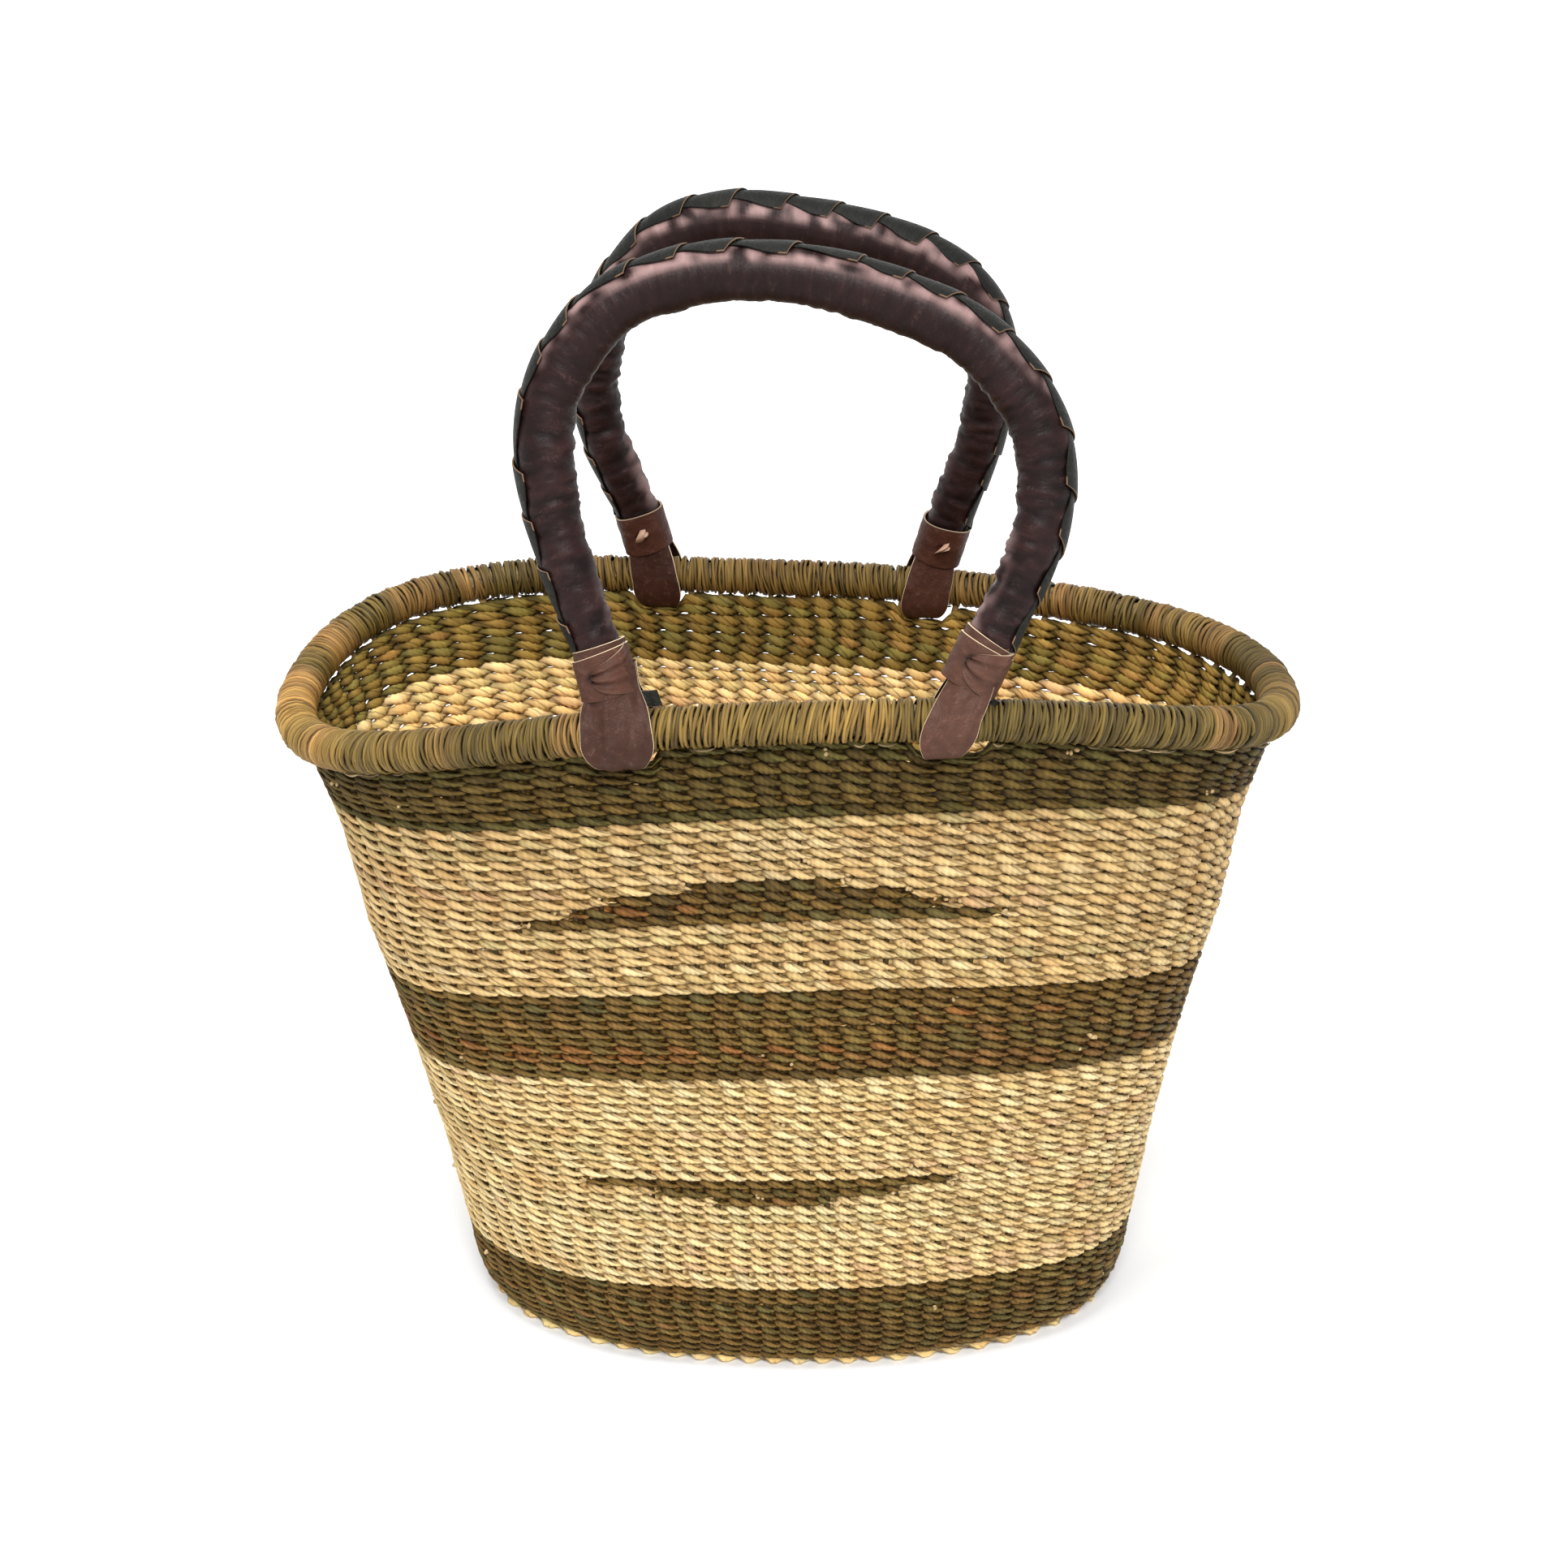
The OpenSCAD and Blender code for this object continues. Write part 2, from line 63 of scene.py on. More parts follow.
def make_camera():
    back = direction(CAMERA_AZIMUTH, CAMERA_ELEVATION)
    right = direction(CAMERA_AZIMUTH + 90, 0)
    facing = Matrix((right, back.cross(right), back)).transposed().to_4x4()
    roll = Matrix.Rotation(math.radians(CAMERA_ROLL), 4, "Z")
    data = bpy.data.cameras.new("camera")
    data.lens = CAMERA_LENS
    data.sensor_width = 36.0
    data.clip_end = 40.0
    camera = bpy.data.objects.new("camera", data)
    camera.matrix_world = Matrix.Translation(CAMERA_TARGET + back * CAMERA_DISTANCE) @ facing @ roll
    bpy.context.collection.objects.link(camera)
    bpy.context.scene.camera = camera


make_camera()

# ---- the basket's form, as in the CAD ----

RIM_HALF_LENGTH, RIM_HALF_DEPTH, RIM_HEIGHT, RIM_SQUARENESS = 230, 119, 321, 2.45
RIM_RADIUS, RIM_GAP = 9.6, 2
END_DROOP, SIDE_TILT, RIM_TWIST, CORNER_LIFT = 11, 3, 7, 9
WALL_THICKNESS, BASE_THICKNESS, EDGE_ROW_WIDTH, BASE_SQUARENESS = 5, 5, 7, 2.2
WALL_PROFILE = np.array([[0, 157, 95], [0.03, 163, 100], [0.06, 165.5, 102], [0.3, 177, 107],
                         [0.5, 190, 110.5], [0.7, 206, 114], [0.88, 214.5, 116], [1, 226, 117]])
STAKES = 78
FOOT_TOP, LOWER_CRESCENT, MIDDLE_BOTTOM, MIDDLE_TOP, UPPER_CRESCENT = 0.13, 0.32, 0.49, 0.63, 0.74
TOP_BAND, TOP_BAND_END_RISE = 0.895, 0.03
LOOPS_AT = {"front": (-63, 78), "back": (-71, 67)}
LOOP_REACH = {"front": 18, "back": 16}   # how far beside a loop the rows still give way to it
LOOP_FADE = 7                            # over what length at the end of that reach they stop doing so
SIDE = {"front": -1, "back": 1}
HANDLE_LEAN = math.radians(10)
NECK_LENGTH, CUFF_START, CUFF_LENGTH, CUFF_RADIUS = 24, 17, 20, 12.6
CUFF_TOP = CUFF_START + CUFF_LENGTH
FOOT_RADIUS, GRIP_RADIUS, SWELL_HEIGHT = 10.2, 12, 120
ROUTES = {
    "front": [(-78, 38), (-88, 70), (-95, 105), (-94, 132), (-84, 156), (-62, 178), (-30, 188),
              (0, 188), (28, 183), (56, 173), (82, 159), (102, 137), (112, 110), (109, 78), (92, 42)],
    "back": [(-80, 38), (-95, 74), (-99, 108), (-93, 138), (-80, 161), (-60, 180), (-30, 188),
             (0, 186), (30, 181), (58, 172), (80, 157), (92, 136), (94, 108), (91, 80), (79, 40)],
}


def unit(v):
    return v / np.linalg.norm(v, axis=-1, keepdims=True)


def stacked(*parts):
    """Points or vectors from their part along each axis, as arrays of matching shapes or numbers."""
    return np.stack(np.broadcast_arrays(*parts), -1)


def circle(count):
    """A number of angles evenly round a circle."""
    return np.arange(count) * TURN / count


def lengths_along(points):
    return np.concatenate([[0], np.cumsum(np.linalg.norm(np.diff(points, axis=0), axis=1))])


def rings_about(centre, across, over, wide, deep, turn):
    """Rings of points about a line, each wide in the direction across and deep in the direction over."""
    return (centre[:, None, :] + across[:, None, :] * (wide * np.cos(turn))[..., None]
            + over[:, None, :] * (deep * np.sin(turn))[..., None])


def plan_direction(angle, squareness):
    """Place on a squared oval seen from above, as shares of its half length and half depth."""
    c = np.cos(angle) * math.sqrt(RIM_HALF_DEPTH)
    s = np.sin(angle) * math.sqrt(RIM_HALF_LENGTH)
    size = (np.abs(c) ** squareness + np.abs(s) ** squareness) ** (1 / squareness)
    return c / size, s / size


def rim_height_at(dx, dy):
    c = np.sign(dx) * np.abs(dx) ** (RIM_SQUARENESS / 2)
    s = np.sign(dy) * np.abs(dy) ** (RIM_SQUARENESS / 2)
    return (RIM_HEIGHT - END_DROOP * (c * c - s * s) - SIDE_TILT * c
            + 2 * s * c * (CORNER_LIFT * c - RIM_TWIST))


def rim_point(angle):
    dx, dy = plan_direction(angle, RIM_SQUARENESS)
    return stacked(RIM_HALF_LENGTH * dx, RIM_HALF_DEPTH * dy, rim_height_at(dx, dy))


def rim_point_at(x, side):
    """Point of the rim's centre line at x, on the front (side -1) or the back (side 1)."""
    c = x / RIM_HALF_LENGTH
    s = side * (1 - abs(c) ** RIM_SQUARENESS) ** (1 / RIM_SQUARENESS)
    return np.array([x, RIM_HALF_DEPTH * s, rim_height_at(c, s)])


def wall_top(angle):
    return rim_height_at(*plan_direction(angle, RIM_SQUARENESS)) - RIM_RADIUS - RIM_GAP


def wall_height(angle):
    return wall_top(angle) - BASE_THICKNESS


def wall_point(angle, height, inset):
    """Point of the wall at a fraction of its height, inset from its outside."""
    dx, dy = plan_direction(angle, BASE_SQUARENESS + (RIM_SQUARENESS - BASE_SQUARENESS) * height)
    half_length = np.interp(height, WALL_PROFILE[:, 0], WALL_PROFILE[:, 1]) - inset
    half_depth = np.interp(height, WALL_PROFILE[:, 0], WALL_PROFILE[:, 2]) - inset
    return stacked(half_length * dx, half_depth * dy, BASE_THICKNESS + height * wall_height(angle))


def loop_nearness(point):
    """1 under a handle's loop, falling smoothly to 0 beside it."""
    near = np.zeros(point.shape[:-1])
    for name, places in LOOPS_AT.items():
        for x in places:
            away = np.abs(point[..., 0] - x)
            same_side = point[..., 1] * SIDE[name] > 0
            near = np.maximum(near, same_side * smooth_step((LOOP_REACH[name] - away) / LOOP_FADE))
    return near


def smooth_step(t):
    t = np.clip(t, 0, 1)
    return t * t * (3 - 2 * t)


def slow_noise(size, reach, seed):
    """A closed run of smooth random numbers between about -1 and 1, which change over reach steps."""
    numbers = np.random.default_rng(seed).normal(size=size)
    waves = np.fft.rfft(numbers)
    waves *= np.exp(-0.5 * (np.arange(len(waves)) * reach * TURN / size) ** 2)
    smooth = np.fft.irfft(waves, size)
    return smooth / (1.6 * smooth.std() + 1e-9)


# ---- colours ----

def linear(colour):
    c = np.asarray(colour, float) / 255
    return np.where(c <= 0.04045, c / 12.92, ((c + 0.055) / 1.055) ** 2.4)


NATURAL = [((243, 216, 156), 10), ((237, 207, 146), 8), ((245, 221, 166), 6), ((229, 197, 136), 4),
           ((222, 202, 142), 1.2), ((230, 195, 146), 1.4), ((218, 190, 128), 1)]
DYED = [((138, 110, 58), 9), ((130, 103, 55), 8), ((131, 109, 58), 6), ((120, 96, 50), 5),
        ((124, 106, 58), 5), ((116, 104, 60), 2), ((150, 117, 64), 2.5), ((146, 110, 62), 1.2),
        ((156, 110, 60), 0.5), ((110, 89, 48), 3), ((134, 116, 64), 2)]
DYED_TOP = [((116, 96, 48), 8), ((109, 95, 47), 7), ((103, 93, 49), 4), ((120, 98, 50), 6),
            ((105, 87, 44), 5), ((111, 101, 52), 3), ((132, 106, 54), 2), ((128, 100, 54), 1.2)]
RIM_STRAW, RIM_OLIVE, RIM_TAN = linear((150, 119, 59)), linear((104, 86, 38)), linear((146, 112, 60))
CREAM = linear((228, 196, 144))


def pick(palette, size=None):
    weights = np.array([w for _, w in palette], float)
    colours = np.array([linear(c) for c, _ in palette])
    return colours[chance.choice(len(palette), size=size, p=weights / weights.sum())]


def runs_of_colour(count, palette, mean_run, spread):
    """One colour for each of count places, the same over runs of them, each a little lighter or darker."""
    colours = np.empty((count, 3))
    at = 0
    while at < count:
        run = 1 + int(chance.exponential(mean_run))
        colours[at:at + run] = pick(palette)
        at += run
    return colours * np.clip(1 + spread * chance.normal(size=(count, 1)), 0.55, 1.5)


# ---- meshes ----

def grain_start():
    """A random place in the pattern of a material, so that no two tubes look the same."""
    return 1000 * chance.random()


def round_grain(along, turn):
    return stacked(along[:, None] + grain_start(), np.cos(turn), np.sin(turn))


class Mesher:
    """Gathers closed tubes into one mesh. Each point carries a colour (tint), a mark, which is
    a strand's groove or a strap's cut edge, and a place along and round the tube (grain)."""

    def __init__(self):
        self.points, self.quads, self.tints, self.marks, self.grains = [], [], [], [], []
        self.count = 0

    def tube(self, rings, tint, mark=0.0, grain=None, closed=False):
        n, k = rings.shape[:2]
        index = np.arange(n * k).reshape(n, k)
        here, there = (index, np.roll(index, -1, 0)) if closed else (index[:-1], index[1:])
        quads = np.stack([here, np.roll(here, -1, 1), np.roll(there, -1, 1), there], -1).reshape(-1, 4)
        if not closed:
            j = np.arange(k // 2 - 1)
            for ring, step in ((index[0], -1), (index[-1], 1)):
                cap = np.stack([ring[j], ring[j + 1], ring[k - 2 - j], ring[k - 1 - j]], -1)
                quads = np.vstack([quads, cap[:, ::step]])
        flat = rings.reshape(-1, 3)
        corner = flat[quads] - flat.mean(0)
        volume = sum((np.cross(corner[:, 0], corner[:, i]) * corner[:, i + 1]).sum() for i in (1, 2))
        if volume < 0:
            quads = quads[:, ::-1]
        self.points.append(flat)
        self.quads.append(quads + self.count)
        if tint.ndim == 2:
            tint = tint[:, None, :]
        self.tints.append(np.broadcast_to(tint, (n, k, 3)).reshape(-1, 3))
        self.marks.append(np.broadcast_to(mark, (n, k)).reshape(-1))
        if grain is None:
            grain = round_grain(lengths_along(rings.mean(1)), circle(k))
        self.grains.append(grain.reshape(-1, 3))
        self.count += n * k

    def make(self, name, material):
        points, quads = np.concatenate(self.points) * MM, np.concatenate(self.quads)
        mesh = bpy.data.meshes.new(name)
        mesh.vertices.add(len(points))
        mesh.vertices.foreach_set("co", points.astype(np.float32).ravel())
        mesh.loops.add(quads.size)
        mesh.loops.foreach_set("vertex_index", quads.astype(np.int32).ravel())
        mesh.polygons.add(len(quads))
        mesh.polygons.foreach_set("loop_start", np.arange(0, quads.size, 4, dtype=np.int32))
        mesh.update(calc_edges=True)
        mesh.shade_smooth()
        tints = np.ones((len(points), 4), np.float32)
        tints[:, :3] = np.concatenate(self.tints)
        for kind, key, field, values in (
                ("tint", "FLOAT_COLOR", "color", tints),
                ("mark", "FLOAT", "value", np.concatenate(self.marks)),
                ("grain", "FLOAT_VECTOR", "vector", np.concatenate(self.grains))):
            layer = mesh.attributes.new(kind, key, "POINT")
            layer.data.foreach_set(field, values.astype(np.float32).ravel())
        mesh.materials.append(material)
        piece = bpy.data.objects.new(name, mesh)
        bpy.context.collection.objects.link(piece)
        return piece


def place(mesher, name, slot, *nodes, body="basket"):
    """Makes the gathered mesh a piece of the object, which stands for some CAD nodes."""
    piece = mesher.make(name, MATERIALS[slot])
    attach(piece, body)
    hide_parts(*nodes)


# ---- materials ----

def new_material(name):
    material = bpy.data.materials.new(name)
    material.use_nodes = True
    tree = material.node_tree
    return material, tree, tree.nodes["Principled BSDF"]


def feed(tree, socket, value):
    """Links another node's output to a socket, or sets the socket to a number, vector or colour."""
    if isinstance(value, bpy.types.NodeSocket):
        tree.links.new(value, socket)
    else:
        socket.default_value = (*value, 1) if socket.type == "RGBA" else value


def add_node(tree, kind, inputs, output=0, **settings):
    made = tree.nodes.new(kind)
    for key, value in settings.items():
        setattr(made, key, value)
    for key, value in inputs.items():
        feed(tree, made.inputs[key], value)
    return made.outputs[output]


def attribute(tree, name, output):
    return add_node(tree, "ShaderNodeAttribute", {}, output, attribute_name=name)


def own_place(tree):
    return add_node(tree, "ShaderNodeTexCoord", {}, "Object")


def math_node(tree, operation, a, b):
    return add_node(tree, "ShaderNodeMath", {0: a, 1: b}, operation=operation)


def remap(tree, value, low, high, to_low, to_high):
    return add_node(tree, "ShaderNodeMapRange", {"Value": value, "From Min": low, "From Max": high,
                                                 "To Min": to_low, "To Max": to_high}, "Result")


def mix_colour(tree, factor, a, b, blend="MIX"):
    return add_node(tree, "ShaderNodeMix", {0: factor, 6: a, 7: b}, 2, data_type="RGBA", blend_type=blend)


def tinted(tree, shade):
    """The points' own colour, lighter or darker."""
    grey = add_node(tree, "ShaderNodeCombineColor", {0: shade, 1: shade, 2: shade})
    return mix_colour(tree, 1.0, attribute(tree, "tint", "Color"), grey, "MULTIPLY")


def scaled(tree, vector, scale):
    return add_node(tree, "ShaderNodeVectorMath", {0: vector, 1: scale}, operation="MULTIPLY")


def noise_texture(tree, vector, scale, detail, roughness=0.55):
    return add_node(tree, "ShaderNodeTexNoise", {"Vector": vector, "Scale": scale, "Detail": detail,
                                                 "Roughness": roughness}, "Fac")


def surface(tree, shader, colour, roughness, shine, bumps=()):
    """A material's colour, roughness and shine, and its bumps: each a height, its size in metres and
    its strength."""
    for name, value in (("Base Color", colour), ("Roughness", roughness), ("Specular IOR Level", shine)):
        feed(tree, shader.inputs[name], value)
    below = {}
    for height, distance, strength in bumps:
        inputs = {"Distance": distance, "Strength": strength, "Height": height, **below}
        below = {"Normal": add_node(tree, "ShaderNodeBump", inputs, "Normal")}
    for name, normal in below.items():
        feed(tree, shader.inputs[name], normal)


def straw_material(name, gloss, shine, blotch):
    """Dried grass: fine fibres along the strand, painted shade in the crease between its plies, blotches of
    age.
    """
    material, tree, shader = new_material(name)
    grain = attribute(tree, "grain", "Vector")
    fibres = noise_texture(tree, scaled(tree, grain, (0.035, 2.6, 2.6)), 2.2, 4)
    long_fade = noise_texture(tree, scaled(tree, grain, (0.06, 0.5, 0.5)), 1.0, 2)
    place_at = own_place(tree)
    mottle = noise_texture(tree, place_at, 55, 3)
    shade = math_node(tree, "MULTIPLY", remap(tree, fibres, 0.3, 0.7, 0.8, 1.12),
                      remap(tree, long_fade, 0.3, 0.7, 1 - blotch, 1 + blotch))
    # painted shade along each groove between the plies, where the mark is set
    crease = math_node(tree, "POWER", attribute(tree, "mark", "Fac"), 4.0)
    shade = math_node(tree, "MULTIPLY", shade, remap(tree, crease, 0, 1, 1, 0.36))
    colour = tinted(tree, shade)
    aged_and_shaded = mix_colour(tree, 1.0, colour, linear((214, 176, 128)), "MULTIPLY")
    colour = mix_colour(tree, remap(tree, mottle, 0.45, 0.72, 0, 0.4), colour, aged_and_shaded)
    roughness = remap(tree, fibres, 0.3, 0.7, gloss + 0.16, gloss)
    ridge = math_node(tree, "SUBTRACT", 1.0, crease)
    surface(tree, shader, colour, roughness, shine, [(fibres, 0.0006, 0.7), (ridge, 0.0004, 0.6)])
    return material


def leather_material(name, roughness, shine, grain_size, grain_depth, edge, wear):
    """Thin soft leather: pebbled grain, fine creases, patches lighter with wear, and pale cut edges."""
    material, tree, shader = new_material(name)
    place_at = own_place(tree)
    cells = {"Vector": place_at, "Scale": 1 / grain_size, "Smoothness": 0.6}
    pebbles = add_node(tree, "ShaderNodeTexVoronoi", cells, "Distance", feature="SMOOTH_F1")
    fine = noise_texture(tree, place_at, 900, 3)
    patches = noise_texture(tree, place_at, 60, 4, 0.6)
    grain = attribute(tree, "grain", "Vector")
    creases = noise_texture(tree, scaled(tree, grain, (0.3, 1.1, 1.1)), 1.0, 3, 0.5)
    shade = math_node(tree, "MULTIPLY", remap(tree, patches, 0.3, 0.7, 0.84, 1.18),
                      remap(tree, creases, 0.3, 0.7, 0.86, 1.14))
    colour = tinted(tree, shade)
    rubbed = math_node(tree, "MULTIPLY", remap(tree, creases, 0.56, 0.72, 0, 1),
                       remap(tree, fine, 0.45, 0.62, 0, wear))
    colour = mix_colour(tree, rubbed, colour, linear((150, 118, 108)))
    cut = remap(tree, attribute(tree, "mark", "Fac"), 0.35, 0.65, 0, 1)
    colour = mix_colour(tree, cut, colour, linear(edge))
    rough = remap(tree, fine, 0.3, 0.7, roughness - 0.07, roughness + 0.12)
    bumps = [(creases, 0.0014, 0.4), (pebbles, grain_depth, 0.6), (fine, 0.0001, 0.5)]
    surface(tree, shader, colour, rough, shine, bumps)
    return material


def core_material():
    """The bundle of grass inside the rim, seen only between its wraps."""
    material, tree, shader = new_material("core_grass")
    blades = noise_texture(tree, own_place(tree), 260, 4)
    light = remap(tree, blades, 0.35, 0.65, 0, 1)
    colour = mix_colour(tree, light, linear((84, 66, 38)), linear((140, 116, 70)))
    surface(tree, shader, colour, remap(tree, blades, 0.3, 0.7, 0.6, 0.85), 0.5, [(blades, 0.001, 0.7)])
    return material


# The material of each of the record's slots
MATERIALS = {
    "natural_straw": straw_material("natural_grass", 0.5, 0.28, 0.1),
    "dyed_straw": straw_material("dyed_grass", 0.5, 0.12, 0.2),
    "rim_straw": straw_material("rim_grass", 0.42, 0.35, 0.16),
    "handle_leather": leather_material("handle_leather", 0.48, 0.17, 0.0007, 0.00012, (150, 118, 96), 0.1),
    "lace_leather": leather_material("lace_leather", 0.5, 0.16, 0.0007, 0.0002, (124, 98, 76), 0.05),
    "loop_leather": leather_material("loop_leather", 0.52, 0.2, 0.0008, 0.0003, (226, 204, 170), 0.2),
}
MATERIALS["stake_straw"] = MATERIALS["rim_straw"]
MATERIALS["cut_leather"] = MATERIALS["loop_leather"]
# The two kinds of row, and the top band's: the colours of their strands, and their slot
STRAW = (NATURAL, "natural_straw")
DARK = (DYED, "dyed_straw")
DARK_TOP = (DYED_TOP, "dyed_straw")

# ---- twining: two strands that cross between one stake and the next ----

STAKE_SPACING = 13     # about, along a row
STEPS_PER_STAKE = 5
STRAND_SIDES = 8
PLY_GROOVES = (0, 3)
STRAND_OUT = 1.9       # how far a strand's middle stands off the wall's middle, over a stake
STRAND_DEEP = 1.15     # half its thickness, square to the wall
PLY_TURNS = 40         # turns of a strand's plies in one row


def strand_colours(tint, turn, front, rear, round_at):
    """A strand's colour at each of its points: painted shade in its flanks, where the rows meet, and where it
    starts from under another, more so on dyed grass, and painted light inside the basket, where less light
    falls."""
    outside = smooth_step(front + 0.6)[:, None]
    starting = np.clip(-np.sin(turn + 0.31), 0, 1)[:, None] ** 8 * smooth_step(0.7 + np.cos(round_at))
    # painted shade: darker in the strand's flanks, between the rows, and where it starts from under another
    painted_shade = (1 - 0.72 * starting) * (1 - 0.82 * outside * np.abs(np.sin(round_at)) ** 4)
    dark = smooth_step((0.45 - tint.mean(axis=1)) / 0.2)
    depth = 0.95 + 1.15 * dark
    # painted light: lighter where the strand lies behind the stakes, on the inside of the wall
    tint = tint * (1 + (rear * (0.5 + 0.5 * dark))[:, None] * [1, 0.9, 0.65])
    return tint[:, None, :] * painted_shade[..., None] ** (depth[:, None, None] * [1, 1.15, 1.4])


def twined_strand(mesher, middle, outward, upward, pitch, u, phase, tint, closed,
                  out=STRAND_OUT, deep=STRAND_DEEP, looseness=1.0):
    """One of the two strands of a row. u counts stakes, and middle, outward and upward are the row's frame.
    A strand shows as a slanting leaf over each second stake, high where it starts and low where it ends."""
    turn = math.pi * (u + phase)
    crossing = np.sin(math.pi * u) ** 2
    front = np.cos(turn + 0.08)
    front = np.sign(front) * np.abs(front) ** 0.7 + 0.24 * crossing
    rear = smooth_step(-1.5 * front)
    sway = 0.1 * chance.normal()
    thick = (1 + 0.035 * chance.normal()) * (1 + 0.05 * slow_noise(len(u), 9, chance.integers(1 << 30)))
    leaf = 0.51 - 0.15 * crossing - 0.06 * np.sin(TURN * u) - 0.06 * np.sin(turn)
    tall = pitch * looseness * thick * leaf
    tall = tall * (1 + 0.26 * rear - 0.07 * np.clip(np.sin(turn), 0, 1) ** 3)
    fat = deep * (1 + 0.2 * crossing) * (0.95 + 0.1 * chance.random())
    if not closed:
        ease = 0.25 + 0.75 * smooth_step(np.minimum(u - u[0], u[-1] - u) / 0.7)
        tall, fat = tall * ease, fat * ease
    centre = (middle + outward * (out * front)[:, None]
              + upward * (pitch * (-0.24 * np.sin(turn - 0.1) + sway * 0.15))[:, None])
    twist = -TURN * round(PLY_TURNS + 2 * chance.normal()) * u / STAKES + TURN * chance.random()
    side = circle(STRAND_SIDES)
    round_at = side[None, :] + twist[:, None]
    bulge = np.ones((len(u), STRAND_SIDES))
    bulge[:, list(PLY_GROOVES)] = (0.72 + 0.24 * np.maximum(rear, crossing))[:, None]
    rings = rings_about(centre, outward, upward, fat[:, None] * bulge, tall[:, None] * bulge, round_at)
    mark = np.zeros(STRAND_SIDES)
    mark[list(PLY_GROOVES)] = 1
    colours = strand_colours(tint, turn, front, rear, round_at)
    mesher.tube(rings, colours, mark, round_grain(u * STAKE_SPACING, side), closed)


def wall_frame(angle, height):
    """The middle of the wall's thickness at a place, with its directions outwards and up the wall."""
    def middle(a, h):
        return wall_point(a, h, WALL_THICKNESS / 2)

    around = middle(angle + SMALL_ANGLE, height) - middle(angle - SMALL_ANGLE, height)
    upward = unit(middle(angle, height + 0.01) - middle(angle, height - 0.01))
    return middle(angle, height), unit(np.cross(around, upward)), upward


def uneven(angle, height):
    """Soft dents and swells of the hand-made wall, outwards in millimetres."""
    return (0.9 * np.sin(3 * angle + 1 + 4 * height) * np.sin(5 * height + 0.6)
            + 0.5 * np.sin(7 * angle - 2 + 6 * height) + 0.35 * np.sin(11 * angle + 9 * height))


def stake_drift(u, height):
    """How far the stakes stray sideways, in stakes."""
    return 0.06 * np.sin(u * 1.7 + 5 * height) + 0.05 * np.sin(u * 0.9 - 9 * height + 2)


def stake_angle(u):
    return (u + 0.5) * TURN / STAKES


FRONT_U, BACK_U = 0.75 * STAKES - 0.5, 0.25 * STAKES - 0.5   # the middles of the front and the back
UPPER_SHADE_STRAW = np.array([0.2, 0.25, 0.3])   # painted shade of the upper rows: how much darker they are, in red, green and blue
UPPER_SHADE_DYE = np.array([0.14, 0.14, 0.14])


def row_edge(low, high, angle, share, dip):
    """Height of a row's edge, a share of the way up its band. Near the top the loops press the rows down."""
    bottom, top = low(angle), high(angle)
    pressed = dip * loop_nearness(wall_point(angle, np.ones_like(angle), 0)) / wall_height(angle)
    return bottom + (top - bottom) * share - pressed * share ** 4


def lay_row(mesher, low, high, row, rows, palette, arcs=None,
            mean_run=14, spread=0.06, looseness=1.0, dip=0):
    """One row of a band between two edges, or only its arcs, given as first and last stake."""
    for first, last in arcs or [(0, STAKES)]:
        whole = arcs is None
        steps = round((last - first) * STEPS_PER_STAKE)
        u = first + np.arange(steps if whole else steps + 1) / STEPS_PER_STAKE
        angle = stake_angle(u)
        bottom, top = (row_edge(low, high, angle, share / rows, dip) for share in (row, row + 1))
        height = (bottom + top) / 2
        angle = stake_angle(u + stake_drift(u, height) + 0.15 * math.sin(2.6 * row * row + rows))
        middle, outward, upward = wall_frame(angle, height)
        wave = 0.35 * slow_noise(len(u), 25, chance.integers(1 << 30)) if whole else 0
        middle = middle + outward * (uneven(angle, height) + 0.12 * chance.normal())[:, None]
        middle = middle + upward * np.broadcast_to(wave, u.shape)[:, None]
        pitch = (top - bottom) * wall_height(angle) / np.maximum(upward[:, 2], 0.5)
        # painted shade: the upper rows are darker, as less light reaches them under the rim
        aged_and_shaded = smooth_step((height - 0.45) / 0.4)[:, None] * (UPPER_SHADE_STRAW if palette is NATURAL else UPPER_SHADE_DYE)
        count = int(last - first) + 2
        for phase in (0, 1):
            colours = runs_of_colour(count, palette, mean_run, spread)
            tint = colours[np.floor(u - first + 0.5).astype(int) % count] * (1 - aged_and_shaded)
            twined_strand(mesher, middle, outward, upward, pitch, u, phase, tint, whole, looseness=looseness)


def level(height):
    return lambda angle: np.full_like(angle, height)


def top_band_low(angle):
    return TOP_BAND + TOP_BAND_END_RISE * plan_direction(angle, RIM_SQUARENESS)[0] ** 2


def top_band_high(angle):
    """The last row's top, which runs unevenly up to the rim."""
    return 1 + (2.2 + 0.6 * np.sin(9 * angle + 2)) / wall_height(angle)


def cut_end(mesher, u, height):
    """A cut end of a strand, which pokes out between two rows."""
    angle = stake_angle(np.array([u]))
    middle, outward, upward = (v[0] for v in wall_frame(angle, np.array([height])))
    sideways = np.cross(upward, outward)
    lean = unit(outward + 0.7 * chance.normal() * sideways + 0.25 * chance.normal() * upward)
    across = unit(np.cross(lean, upward))
    size = 0.7 + 0.35 * chance.random()
    reach = np.array([0.5, 2.6, 3.1 + 0.9 * chance.random()])
    radius = np.array([1, 1, 0.75])[:, None] * size
    centre = middle + reach[:, None] * lean
    rings = rings_about(centre, across[None, :], upward[None, :], radius, radius, circle(6))
    # painted shade: a cut end is darkest at its root, between the rows
    mesher.tube(rings, CREAM * np.array([0.3, 0.8, 0.75])[:, None])


def scatter_ends(mesher, low, high, count):
    for _ in range(count):
        u, height = STAKES * chance.random(), low + (high - low) * chance.random()
        for _ in range(chance.integers(1, 4)):
            cut_end(mesher, u + 0.12 * chance.normal(), height + 0.002 * chance.normal())


